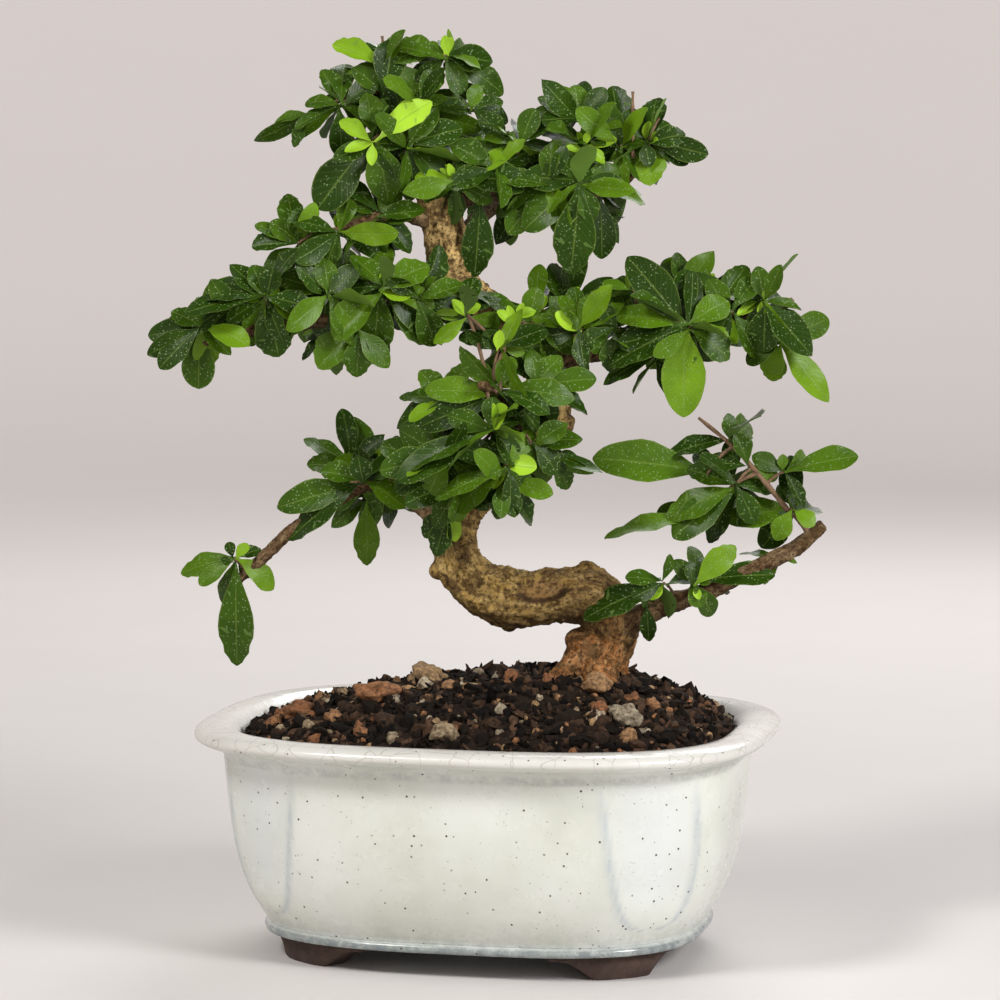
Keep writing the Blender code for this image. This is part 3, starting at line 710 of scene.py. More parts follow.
def prototype(home, name, shape):
    """A small shape in a hidden collection, for instancing."""
    bmesh.ops.recalc_face_normals(shape, faces=shape.faces)
    home.objects.link(bpy.data.objects.new(name, mesh_from(name, shape)))


def discard(home):
    """Removes the prototypes once their copies are real."""
    for thing in list(home.objects):
        bpy.data.objects.remove(thing)
    bpy.data.collections.remove(home)


print("tree builder ready")

# %% [markdown]
# ## The soil
# Bonsai soil is a loose mix, heaped in a mound: dark bark chips, small burnt-clay grit and a few
# stones. A dark mound fills the pot, higher on the right, and nodes scatter the chips and the grit
# over it. The chips are crumpled spheres, squashed flat or long, with eighty faces each.


# %% The mound
SOIL_EDGE = -2.5 * MM
SOIL_CROWN = 15.5 * MM
SOIL_SKEW = 0.5
MOUND_SIDES = 160
SOIL_HALF_LENGTH = POT_LENGTH / 2 - wall_inset(NECK) - WALL
SOIL_HALF_DEPTH = POT_DEPTH / 2 - wall_inset(NECK) - WALL


def soil_height(x, y):
    """Height of the mound's skin at a place measured from the pot's middle."""
    out = (abs(x / SOIL_HALF_LENGTH) ** CORNER + abs(y / SOIL_HALF_DEPTH) ** CORNER) ** (1 / CORNER)
    out = min(1.0, out)
    heap = (SOIL_CROWN - SOIL_EDGE) * (1 - out**2.3) * (1 + SOIL_SKEW * x / SOIL_HALF_LENGTH)
    lumps = noise.noise(Vector((x, y, 0.3)) * 45) * 1.8 * MM
    lumps += noise.noise(Vector((x, y, 0.7)) * 130) * 1.2 * MM
    return RIM_TOP + SOIL_EDGE + heap - 1.2 * MM + lumps * (0.25 + 0.75 * min(1.0, 4 * (1 - out)))


def mound_rings(shares):
    """Rings over the mound's top, each some share of the way in."""
    angles = even_angles(MOUND_SIDES)
    edge = wall_inset(NECK) + WALL + 0.4 * MM
    rings = []
    for share in shares:
        ring = []
        for angle in angles:
            point = plan_point(edge, angle) * (1 - share)
            ring.append(on_pot(point, soil_height(point.x, point.y)))
        rings.append(ring)
    return rings


def make_mound(finish):
    angles = even_angles(MOUND_SIDES)
    rings = []
    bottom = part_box("soil")[0].z
    for share in (0, 0.1, 0.25, 0.5, 0.8, 1):
        z = bottom + (NECK - bottom) * share
        ring = [plan_point(wall_inset(z) + WALL + 0.6 * MM, angle) for angle in angles]
        rings.append([on_pot(point, z) for point in ring])
    rings += mound_rings([0.985 * i / 40 for i in range(41)])
    return finished("soil_mound", loft(rings), finish)


def soil_paint(name, dark, mid, light, by_tone):
    """Broken bark and loam; by_tone varies it from one chip to the next."""
    paint = Paint(name, roughness=0.92, Specular_IOR_Level=0.12)
    where = paint.place()
    grain = paint.noise(where, 1.6, 5, 0.7)
    if by_tone:
        own = paint.times(paint.attribute("tone"), 0.62)
        grain = paint.plus(paint.times(grain, 0.45), own)
    paint.colour(paint.ramp(grain, (0.25, dark), (0.60, mid), (0.92, light)))
    paint.bump(paint.noise(where, 0.8, 5, 0.7), 0.7, 0.5)
    return paint.material


loam = soil_paint("loam", (0.006, 0.004, 0.003), (0.020, 0.012, 0.008), (0.05, 0.03, 0.02), False)
mound = make_mound(loam)
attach(mound, "root")
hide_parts("soil")
print("mound", len(mound.data.polygons), "faces")


# %% Chips, grit and beads as prototypes
def crumpled(stretch, rough, seed, detail=2):
    """A small sphere with its points pushed about and then stretched."""
    shape = bmesh.new()
    bmesh.ops.create_icosphere(shape, subdivisions=detail, radius=0.5)
    for vert in shape.verts:
        push = noise.noise(vert.co * 2.3 + Vector((seed * 7.1, seed, 0)))
        push += 0.5 * noise.noise(vert.co * 5.1 + Vector((seed, 3.3, 0)))
        vert.co = vert.co * (1 + rough * push)
        vert.co = Vector((vert.co.x * stretch[0], vert.co.y * stretch[1], vert.co.z * stretch[2]))
    return shape


chips = bpy.data.collections.new("chips")
CHIP_SHAPES = [(1.3, 1.0, 0.8), (1.05, 0.9, 1.0), (1.9, 0.6, 0.5), (1.5, 1.2, 0.5), (1.2, 0.85, 0.7)]
for index, stretch in enumerate(CHIP_SHAPES):
    prototype(chips, f"chip_{index}", crumpled(stretch, 0.8, index + 1))
STONE_SHAPES = [(1.15, 1.0, 0.8), (1.0, 0.9, 0.85), (1.3, 0.9, 0.7)]
stones = bpy.data.collections.new("stones")
for index, stretch in enumerate(STONE_SHAPES):
    prototype(stones, f"stone_{index}", crumpled(stretch, 0.55, index + 11))

# %% [markdown]
# One tree scatters any of them. Its inputs are how many lie on a square metre, how long the least
# and the greatest are, how far they tip over, and the seed. Each one keeps a random tone, which
# its material reads.


# %% The scatter tree
scatter = Grower(
    "scatter", Kinds="Collection", Finish="Material", Density="Float", Least="Float", Greatest="Float",
    Tilt="Float", Seed="Int",
)
spots = scatter.node(
    "GeometryNodeDistributePointsOnFaces",
    [("Mesh", scatter.given("Geometry")), ("Density", scatter.given("Density")),
     ("Seed", scatter.given("Seed"))],
)
pool = scatter.node(
    "GeometryNodeCollectionInfo", [("Collection", scatter.given("Kinds")), (1, True), (2, True)]
)
least_tilt = [(0, scatter.given("Tilt")), (1, -1.0)]
least_tilt = scatter.node("ShaderNodeMath", least_tilt, operation="MULTIPLY").outputs[0]
low_turn = scatter.node("ShaderNodeCombineXYZ", [(0, least_tilt), (1, least_tilt), (2, 0.0)])
high_turn = scatter.node(
    "ShaderNodeCombineXYZ", [(0, scatter.given("Tilt")), (1, scatter.given("Tilt")), (2, 2 * math.pi)]
)
turn = scatter.node(
    "FunctionNodeRandomValue",
    [(0, low_turn.outputs[0]), (1, high_turn.outputs[0]), ("Seed", scatter.given("Seed"))],
    data_type="FLOAT_VECTOR",
)
girth = scatter.node(
    "FunctionNodeRandomValue",
    [(2, scatter.given("Least")), (3, scatter.given("Greatest")), ("Seed", scatter.given("Seed"))],
    data_type="FLOAT",
)
laid = scatter.node(
    "GeometryNodeInstanceOnPoints",
    [("Points", spots.outputs["Points"]), ("Instance", pool.outputs[0]), ("Pick Instance", True),
     ("Rotation", turn.outputs["Value"]), ("Scale", girth.outputs[1])],
)
tone = scatter.node("FunctionNodeRandomValue", [(2, 0.0), (3, 1.0), ("Seed", 5)], data_type="FLOAT")
toned = scatter.node(
    "GeometryNodeStoreNamedAttribute",
    [("Geometry", laid.outputs[0]), ("Name", "tone"), ("Value", tone.outputs[1])],
    data_type="FLOAT", domain="INSTANCE",
)
scatter.finish(toned.outputs[0])
print("scatter inputs", list(scatter.sockets))


# %% Chips and grit on the mound
def open_skin(name, first, last):
    """The mound's top as an open sheet between two shares of the way in, for scattering on."""
    rings = mound_rings([first + (last - first) * i / 30 for i in range(31)])
    shape = bmesh.new()
    join_loops(shape, [[shape.verts.new(point) for point in ring] for ring in rings])
    return mesh_from(name, shape)


def grit_paint():
    paint = Paint("grit", roughness=0.85, Specular_IOR_Level=0.2)
    where = paint.place()
    tint = paint.ramp(
        paint.attribute("tone"), (0.0, (0.10, 0.045, 0.02)), (0.3, (0.27, 0.11, 0.045)),
        (0.6, (0.36, 0.23, 0.11)), (0.85, (0.24, 0.21, 0.15)), (1.0, (0.46, 0.38, 0.26)),
    )
    dirt = paint.ramp(paint.noise(where, 1.4, 5, 0.75), (0.42, 0.0), (0.62, 0.85))
    shaded = paint.mix(dirt, tint, (0.045, 0.026, 0.016))
    paint.colour(shaded)
    paint.bump(paint.noise(where, 0.6, 4, 0.7), 0.6, 0.4)
    return paint.material


bark_chip = soil_paint("bark_chip", (0.004, 0.003, 0.0025), (0.014, 0.009, 0.006), (0.10, 0.055, 0.032), True)
grit = grit_paint()
# name, kinds, finish, how many on a square metre, least and greatest mm, tilt, seed, slot, and
# where they start on the way in
soil_pieces = [
    ("chips_small", chips, bark_chip, 100000, 1.5, 3.8, 1.2, 3, "soil", 0.0),
    ("chips_large", chips, bark_chip, 11000, 4.2, 6.6, 0.8, 8, "soil", 0.04),
    ("grit_small", stones, grit, 17000, 1.5, 3.2, 1.5, 21, "pebble", 0.01),
    ("grit_large", stones, grit, 4200, 4.0, 6.6, 1.5, 34, "pebble", 0.05),
]
for name, kinds, finish, density, least, greatest, tilt, seed, slot, first in soil_pieces:
    piece = scatter.grow(
        name, open_skin(name, first, 0.97), Kinds=kinds, Finish=finish, Density=float(density),
        Least=least * MM, Greatest=greatest * MM, Tilt=tilt, Seed=seed,
    )
    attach(piece, "root")
    print(name, len(piece.data.polygons), "faces")
discard(chips)
discard(stones)


# %% The six large stones
STONE_TONES = (0.35, 0.62, 0.2, 0.75, 0.5, 0.9)


def make_stones(finish):
    """Each stone takes its place and its size from its CAD node's box."""
    whole = bmesh.new()
    tones = []
    for index in range(1, len(STONE_TONES) + 1):
        low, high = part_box(f"pebble_{index}")
        middle, size = (low + high) / 2, high - low
        stone = crumpled((size.x, size.y, size.z), 0.5, index + 20, 4)
        before = len(whole.verts)
        for vert in stone.verts:
            vert.co += middle
        whole.from_mesh(mesh_from("stone", stone))
        tones += [STONE_TONES[index - 1]] * (len(whole.verts) - before)
    stones = finished("large_stones", whole, finish)
    mark(stones.data, "tone", tones)
    return stones


large_stones = make_stones(grit)
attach(large_stones, "root")
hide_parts(*[f"pebble_{index}" for index in range(1, 7)])
print("large stones", len(large_stones.data.polygons), "faces")

# %% [markdown]
# ## The trunk and its branches
# The trunk rises from the left of its root, runs level to the left, and then winds up in an S. It
# is one old piece of wood, so trunk and branches are drawn as lines with a thickness, made into
# tubes, and melted into one skin by a voxel remesh. Then every point of that skin learns where it
# lies along the wood and round it, and long swellings and bark are raised along those directions.

# %% The lines of the wood
# across, up from the rim, towards the viewer, radius, all in mm
TRUNK = [
    (36, -14, 0, 10.5), (36, 4, 0, 11.4), (36, 15, 0, 11.8), (38, 22, 0, 10.8), (41, 28, 0, 9.6),
    (41.5, 35, 1, 9.4), (36, 42.5, 2, 10.4), (25, 43, 3, 9.6), (16, 42, 4, 9.3), (6, 42.5, 4, 10.2),
    (-3, 46, 3, 9.3), (-9.5, 52, 2, 8.6), (-12, 59, 0, 7.9), (-11, 70, -3, 7.5), (-5, 78.5, -6, 7.4),
    (4, 84.5, -8, 7.3), (11.5, 90.5, -8, 7.3), (17, 97, -8, 7.4), (20.3, 104, -7, 7.4),
    (21.3, 112, -6, 7.4),
    (19.5, 120, -5, 7.4), (15, 127.5, -4, 7.4), (7.5, 135, -2, 7.3), (-2, 142.5, 0, 7.3),
    (-9, 149, 1, 7.4), (-13.4, 156, 1, 7.5), (-15.2, 165, 1, 7.6), (-16.4, 173, 1, 7.5),
    (-18.5, 180, 1, 7.1), (-20.5, 184, 1, 6.2),
]
BRANCHES = {
    "low_right": [(41, 29, 2, 4.6), (52, 36, 7, 4.2), (62, 41, 10, 3.6), (74, 45, 12, 3.2),
                  (86, 51, 12, 3.1), (97, 56, 11, 3.0), (107, 61, 9, 2.9), (116, 68.5, 8, 2.3)],
    "low_left": [(-7, 77, -5, 4.0), (-22, 85, 2, 3.4), (-40, 83.5, 8, 2.9), (-49, 80, 10, 2.7),
                 (-59, 73.5, 11, 2.6), (-69.5, 66, 12, 2.4), (-79, 57, 12, 2.2), (-91, 46.5, 12, 1.5)],
    "mid_left": [(-4, 148, 0, 4.6), (-21, 145, 8, 4.0), (-38, 143, 12, 3.4), (-56, 140.5, 14, 3.1),
                 (-72, 138, 14, 2.7), (-87, 135, 13, 2.2), (-102, 131, 11, 1.5)],
    "mid_right": [(16, 123, -4, 4.6), (32, 128, 3, 4.0), (52, 129.5, 7, 3.5), (73, 134.5, 9, 2.9),
                  (91, 141, 9, 2.3), (105, 146, 8, 1.6)],
    "crown_left": [(-20, 179, 1, 4.8), (-25, 195, 3, 4.0), (-30, 208, 4, 3.2), (-33, 219, 4, 2.4),
                   (-35, 229, 3, 1.5)],
    "crown_right": [(-18, 176, 1, 4.6), (-3, 185, 3, 4.0), (14, 184, 5, 3.4), (31, 183, 6, 2.9),
                    (45, 187, 6, 2.3), (55, 196, 5, 1.5)],
    "upper_left": [(-17, 172, 2, 3.2), (-30, 176, 8, 2.5), (-42, 174, 11, 2.0), (-52, 171, 12, 1.4)],
    "front": [(11, 90, -8, 3.8), (7, 102, 12, 3.3), (2, 115, 26, 2.7), (-3, 119, 38, 1.6)],
    "back": [(19, 117, -6, 3.9), (24, 124, -24, 3.3), (29, 130, -41, 2.6), (24, 136, -56, 1.6)],
    "crown_back": [(-14.5, 161, 0, 3.6), (-6, 172, -18, 3.0), (2, 179, -34, 2.3), (6, 184, -48, 1.5)],
    "low_back": [(-12, 62, 0, 3.6), (-22, 70, -20, 3.0), (-34, 76, -36, 2.3), (-44, 79, -48, 1.5)],
}
# old pruning knobs and root swellings: across, up, towards the viewer, radius
KNOBS = [
    (-17.8, 52, 2, 3.6), (7, 34.2, 4, 3.2), (5, 49.5, 3, 4.0), (34, 49.8, 2, 5.2), (-8, 62, 6, 3.6),
    (26, 103, -3, 3.4), (-5, 150, 3, 3.6), (-19, 166, 3, 4.4), (47, 30, 4, 5.0), (31, 27, 5, 4.4),
    (-14, 178, 4, 4.4), (13, 130, 0, 3.8),
]
ROOTS = [
    [(36, 20, 5, 5.2), (40, 14, 11, 4.0), (45, 8, 17, 2.6), (50, 3, 21, 1.8)],
    [(33, 21, 5, 5.8), (26, 16, 9, 4.4), (18, 11, 13, 3.0), (9, 6, 17, 1.8)],
    [(39, 17, -2, 5.0), (45, 11, -5, 3.6), (52, 6, -9, 2.6), (60, 1, -12, 1.8)],
    [(33, 18, -5, 5.0), (26, 11, -14, 4.0), (18, 7, -24, 2.6), (10, 4, -32, 1.8)],
]


FIRST_SIDE = Vector((0.31, 0.22, 0.93))  # along no line, so every tube can start its turns from it


def smooth_line(rows, steps=10):
    """Places and radii on a smooth curve through drawn rows, in metres."""
    points = [sheet_point(*row[:3]) for row in rows]
    line = []
    for i in range(len(points) - 1):
        start, end = points[i], points[i + 1]
        lead = (end - points[max(i - 1, 0)]) * 0.5
        bend = (points[min(i + 2, len(points) - 1)] - start) * 0.5
        for k in range(steps):
            t = k / steps
            place = (
                start * (2 * t**3 - 3 * t**2 + 1) + lead * (t**3 - 2 * t**2 + t)
                + end * (3 * t**2 - 2 * t**3) + bend * (t**3 - t**2)
            )
            line.append((place, (rows[i][3] + (rows[i + 1][3] - rows[i][3]) * t) * MM))
    line.append((points[-1], rows[-1][3] * MM))
    return line


def add_tube(shape, line, sides=14):
    """Adds a closed tube along places and radii to a bmesh."""
    side = None
    loops = []
    for i, (place, radius) in enumerate(line):
        ahead = line[min(i + 1, len(line) - 1)][0] - line[max(i - 1, 0)][0]
        ahead.normalize()
        if side is None:
            side = ahead.cross(FIRST_SIDE).normalized()
        side = (side - ahead * side.dot(ahead)).normalized()
        up = ahead.cross(side)
        ring = []
        for k in range(sides):
            angle = 2 * math.pi * k / sides
            aside = side * math.cos(angle) + up * math.sin(angle)
            ring.append(shape.verts.new(place + aside * radius))
        loops.append(ring)
    close_loops(shape, loops)


print("wood lines", 1 + len(BRANCHES), "knobs", len(KNOBS))


# %% Melt the tubes into one skin
WOOD_VOXEL = 0.72 * MM


def wood_skin():
    shape = bmesh.new()
    add_tube(shape, smooth_line(TRUNK), 20)
    for rows in list(BRANCHES.values()) + ROOTS:
        add_tube(shape, smooth_line(rows))
    for across, up, forward, radius in KNOBS:
        middle = Matrix.Translation(sheet_point(across, up, forward))
        bmesh.ops.create_icosphere(shape, subdivisions=3, radius=radius * MM, matrix=middle)
    holder = bpy.data.objects.new("wood_tubes", mesh_from("wood_tubes", shape))
    bpy.context.scene.collection.objects.link(holder)
    melt = holder.modifiers.new("melt", "REMESH")
    melt.mode = "VOXEL"
    melt.voxel_size = WOOD_VOXEL
    ease = holder.modifiers.new("ease", "SMOOTH")
    ease.factor = 0.5
    ease.iterations = 5
    skin = plain_mesh("wood_skin", holder)
    bpy.data.objects.remove(holder)
    return skin


skin = wood_skin()
print("wood skin", len(skin.vertices), "points")


# %% Where each point lies along the wood
def wood_samples():
    """Samples along every line: place, direction, a side, mm from the line's start, age, radius."""
    samples = []
    lines = [(TRUNK, 0.0, 1.0)] + [(rows, 1.25, 2.0) for rows in BRANCHES.values()]
    lines += [(rows, 0.04, 0.0) for rows in ROOTS]
    for number, (rows, first, last) in enumerate(lines):
        line = smooth_line(rows, 12)
        travelled = 100.0 * number
        side = FIRST_SIDE
        for i, (place, radius) in enumerate(line):
            ahead = (line[min(i + 1, len(line) - 1)][0] - line[max(i - 1, 0)][0]).normalized()
            side = (side - ahead * side.dot(ahead)).normalized()
            if i:
                travelled += (place - line[i - 1][0]).length / MM
            age = first + (last - first) * i / (len(line) - 1)
            samples.append((place, ahead, side, travelled, age, radius))
    return samples


# the old pruning scar on the low run: its middle on the sheet, and half its length and height
SCAR_ACROSS, SCAR_UP = 18.4, 46.0
SCAR_HALF_LENGTH, SCAR_HALF_HEIGHT = 8.6, 3.9


def point_vectors(skin, field):
    flat = np.empty(len(skin.vertices) * 3)
    skin.vertices.foreach_get(field, flat)
    return flat.reshape(-1, 3)


def nearest_samples(where, samples, step=4000):
    """For each point, the sample whose round of wood is nearest, some thousands at a time."""
    places = np.array([s[0] for s in samples])
    radii = np.array([s[5] for s in samples])
    nearest = np.empty(len(where), dtype=int)
    for first in range(0, len(where), step):
        gap = np.linalg.norm(where[first:first + step, None, :] - places[None, :, :], axis=2)
        nearest[first:first + step] = (gap - radii[None, :]).argmin(axis=1)
    return nearest


def carve(skin):
    """Raises bark on the skin, and stores what the material reads."""
    samples = wood_samples()
    count = len(skin.vertices)
    where = point_vectors(skin, "co")
    normals = point_vectors(skin, "normal")
    nearest = nearest_samples(where, samples)
    c, s = math.cos(TREE_TURN), math.sin(TREE_TURN)
    off_x, off_y = where[:, 0] - POT_MIDDLE.x, where[:, 1] - POT_MIDDLE.y
    seen_across = (off_x * c + off_y * s) / MM
    seen_up = (where[:, 2] - RIM_TOP) / MM
    seen_front = (off_x * s - off_y * c) / MM
    grain = np.zeros((count, 3))
    age = np.zeros(count)
    hollow = np.zeros(count)
    scar = np.zeros(count)
    out = np.zeros(count)
    for i in range(count):
        place, ahead, side, travelled, old, radius = samples[nearest[i]]
        offset = Vector(where[i]) - place
        run = travelled + offset.dot(ahead) / MM
        up = ahead.cross(side)
        a, b = offset.dot(side), offset.dot(up)
        reach = max(1e-6, math.hypot(a, b))
        ca, sa = a / reach, b / reach
        girth = radius / MM
        y, z = ca * girth, sa * girth
        local = Vector((run, y, z))
        grain[i] = local
        age[i] = old
        turned = math.atan2(sa, ca) + run * 0.035
        swell = noise.noise(Vector((run * 0.045, 1.5 * math.cos(turned) + 3, 1.5 * math.sin(turned))))
        ridge = noise.noise(Vector((run * 0.16, y * 0.36, z * 0.36)))
        lumps = noise.noise(local * 0.42 + Vector((9, 2, 5)))
        crackle = noise.noise(Vector((run * 0.8, y * 0.95, z * 0.95)) + Vector((1, 7, 3)))
        weight = min(1.0, girth / 8)
        fine = min(1.0, girth / 4)
        out[i] = weight * (1.25 * swell + 0.65 * ridge + 0.75 * lumps) + fine * 0.50 * crackle
        # painted shade: the sunken cracks and dips are marked hollow, and the bark darkens them
        hollow[i] = max(0.0, -crackle * 1.5 - 0.15) + max(0.0, -lumps - 0.1)
        aside = seen_across[i] - SCAR_ACROSS
        u = aside / SCAR_HALF_LENGTH
        v = (seen_up[i] - SCAR_UP - 0.1 * aside) / SCAR_HALF_HEIGHT
        ring = math.hypot(u, v)
        if seen_front[i] > 3 and ring < 1.7:
            inside = smooth_step((1 - ring) / 0.22)
            out[i] = out[i] * (1 - 0.8 * inside) - inside * (0.5 + 1.5 * smooth_step((0.5 - v) / 1.3))
            out[i] += 0.8 * math.exp(-(((ring - 1.22) / 0.2) ** 2))
            # the slit round the scar is marked hollow too, for painted shade in it
            slit = math.exp(-(((ring - 0.90) / 0.17) ** 2)) * smooth_step((0.15 - v) / 0.4)
            hollow[i] = hollow[i] * (1 - 0.6 * inside) + 2.2 * slit
            scar[i] = inside
    where = where + normals * (out * MM)[:, None]
    skin.vertices.foreach_set("co", where.reshape(-1))
    # painted shade: how far each point faces down, for darkening the wood's undersides
    under = np.clip(-normals[:, 2], 0, 1)
    mark(skin, "age", age)
    mark(skin, "hollow", np.clip(hollow, 0, 1))
    mark(skin, "under", under)
    mark(skin, "scar", scar)
    mark(skin, "grain", grain.reshape(-1), "FLOAT_VECTOR", "vector")
    skin.update()


# %% [markdown]
# The bark changes along the tree: rusty by the soil, olive gold on the low run, pale and freckled
# where the trunk climbs, and brown on the branches. The material reads how far along the wood a
# point is, and lays streaks and freckles along the grain that the mesh carries. It also paints shade
# into the sunken cracks, the scar's slit and the undersides of the wood.


# %% Bark
def bark():
    paint = Paint("bark", roughness=0.78, Specular_IOR_Level=0.1)
    grain = paint.node("ShaderNodeAttribute", attribute_name="grain").outputs["Vector"]
    streaked = paint.node("ShaderNodeMapping", [(0, grain), (3, (0.35, 1.0, 1.0))]).outputs[0]
    along = paint.times(paint.attribute("age"), 0.5)
    shift = paint.times(paint.maths("SUBTRACT", paint.noise(grain, 14, 3), 0.5), 0.10)
    along = paint.plus(along, shift)
    base = paint.ramp(
        along, (0.0, (0.34, 0.115, 0.030)), (0.055, (0.36, 0.135, 0.036)), (0.095, (0.25, 0.150, 0.048)),
        (0.15, (0.33, 0.205, 0.050)), (0.22, (0.50, 0.325, 0.105)), (0.34, (0.60, 0.405, 0.145)),
        (0.47, (0.64, 0.430, 0.160)), (0.58, (0.20, 0.115, 0.060)), (0.95, (0.11, 0.060, 0.032)),
    )
    streaks = paint.ramp(paint.noise(streaked, 2.6, 6, 0.72), (0.40, 0.0), (0.62, 1.0))
    light = paint.mix(paint.times(streaks, 0.28), base, (0.72, 0.56, 0.28))
    patches = paint.ramp(paint.noise(grain, 6.5, 6, 0.75), (0.43, 0.85), (0.525, 0.0))
    patched = paint.mix(patches, light, (0.115, 0.066, 0.026))
    worn = paint.mix(paint.times(paint.attribute("scar"), 0.7), patched, (0.27, 0.150, 0.060))
    # painted shade: the sunken cracks, dips and the scar's slit, as marked hollow, are darkened
    dark = paint.mix(paint.times(paint.attribute("hollow"), 0.9), worn, (0.035, 0.018, 0.010))
    rough_spots = paint.ramp(paint.noise(grain, 1.3, 6, 0.8), (0.41, 0.95), (0.455, 0.0))
    spotted = paint.mix(paint.times(rough_spots, 0.8), dark, (0.075, 0.038, 0.018))
    freckles = paint.ramp(paint.cells(grain, 0.75), (0.13, 0.85), (0.21, 0.0))
    freckled = paint.mix(freckles, spotted, (0.10, 0.050, 0.022))
    # painted shade: the undersides of the wood are darkened
    under = paint.ramp(paint.attribute("under"), (0.30, 0.0), (0.95, 0.75))
    paint.colour(paint.mix(under, freckled, (0.040, 0.026, 0.014)))
    paint.roughness(paint.ramp(streaks, (0.0, 0.9), (1.0, 0.7)))
    rough = paint.plus(paint.noise(grain, 1.3, 6, 0.75), paint.times(rough_spots, -0.5))
    paint.bump(rough, 1.0, 0.8)
    return paint.material


bark_finish = bark()
carve(skin)
wood = placed("wood", skin, bark_finish, 80)
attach(wood, "root")
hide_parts("trunk", *["branch_" + name for name in BRANCHES])
print("wood", len(wood.data.polygons), "faces")

# %% [markdown]
# ## One leaf, in a few kinds
# The leaves are small, thick and glossy, narrow at the stalk and broad near a blunt, toothed tip.
# Each kind is a blade one unit long and one unit wide, with a top and an underside. Its UV map runs
# along it, and across it from 0 to 1 on top and from 1 to 2 below, so that the material can draw
# the midrib and make the underside paler.


# %% Blade shapes
def outline(widest, point, teeth=0.0):
    """Widths along a leaf: narrow at the stalk, widest at one share, then round or pointed."""
    rows = []
    for i in range(13):
        along = math.sin(math.pi / 2 * i / 12)
        if along < widest:
            wide = math.sin(math.pi / 2 * along / widest) ** 1.4
        else:
            wide = (1 - ((along - widest) / (1 - widest)) ** 2) ** point
        if along > 0.7 and i % 2:
            wide *= 1 - teeth
        rows.append((along, max(0.05, wide)))
    return rows


SPOON = outline(0.66, 0.58)
TOOTHED = outline(0.62, 0.66, 0.13)
OVAL = outline(0.54, 0.64)
LONG = outline(0.56, 0.85)
# outline, fold along the midrib, droop of the tip, twist in degrees, wave of the edge
BLADES = {
    "blade_0_spoon": (SPOON, 0.20, 0.14, 4, 0.014),
    "blade_1_toothed": (TOOTHED, 0.16, 0.22, 14, 0.022),
    "blade_2_oval": (OVAL, 0.18, 0.08, -12, 0.014),
    "blade_3_long": (LONG, 0.26, 0.26, 12, 0.018),
    "blade_4_folded": (TOOTHED, 0.52, 0.10, -12, 0.018),
    "blade_5_arched": (SPOON, 0.14, 0.40, 10, 0.024),
    "blade_6_cupped": (OVAL, 0.55, -0.22, 4, 0.0),
}
TOP_COLUMNS = (-1.0, -0.52, 0.0, 0.52, 1.0)
BLADE_THICKNESS = 0.022  # share of the length


def blade(widths, fold, droop, twist, wave):
    """A closed blade along +X, with its top towards +Z."""
    shape = bmesh.new()
    layer = shape.loops.layers.uv.new("UVMap")
    tops, bottoms = [], []
    for along, wide in widths:
        half = 0.5 * wide
        turn = math.radians(twist) * along
        sink = -droop * along**2
        row = []
        for column in TOP_COLUMNS:
            across = column * half
            lift = fold * abs(across) ** 1.15 * 0.62
            lift += wave * math.sin(along * 17 + column * 2) * abs(column)
            rise = 0.5 * BLADE_THICKNESS * (1 - column * column)
            y = across * math.cos(turn)
            z = lift + across * math.sin(turn) + sink
            row.append((along - 0.35 * droop * abs(droop) * along**3, y, z, rise, column))
        tops.append([shape.verts.new((x, y, z + rise)) for x, y, z, rise, _ in row])
        middle = row[2]
        low = shape.verts.new((middle[0], middle[1], middle[2] - 0.6 * BLADE_THICKNESS))
        bottoms.append([tops[-1][0], low, tops[-1][-1]])
    tip, stalk = tops[-1], tops[0]

    def add(verts, uvs):
        """One face with its places on the UV map."""
        face = shape.faces.new(verts)
        for loop, uv in zip(face.loops, uvs):
            loop[layer].uv = uv

    for i in range(len(widths) - 1):
        v0, v1 = widths[i][0], widths[i + 1][0]
        for k in range(4):
            u0, u1 = 0.5 + 0.5 * TOP_COLUMNS[k], 0.5 + 0.5 * TOP_COLUMNS[k + 1]
            corners = (tops[i][k], tops[i][k + 1], tops[i + 1][k + 1], tops[i + 1][k])
            add(corners, ((u0, v0), (u1, v0), (u1, v1), (u0, v1)))
        for k in range(2):
            u0, u1 = 1.02 + 0.48 * k, 1.5 + 0.48 * k
            corners = (bottoms[i][k], bottoms[i + 1][k], bottoms[i + 1][k + 1], bottoms[i][k + 1])
            add(corners, ((u0, v0), (u0, v1), (u1, v1), (u1, v0)))
    add((*tip, bottoms[-1][1]), [(0.5, 1)] * 6)
    add((*stalk[::-1], bottoms[0][1]), [(0.5, 0)] * 6)
    return shape


blades = bpy.data.collections.new("blades")
for name, facts in BLADES.items():
    prototype(blades, name, blade(*facts))

# %% [markdown]
# The leaf's finish carries most of the likeness: deep green and waxy, paler under, with a light
# midrib, faint side veins, the tiny white dots that this plant has, and a painted highlight along
# the edges. Young leaves are yellow green. One material does them all, because each leaf carries a
# tone from dark to bright.


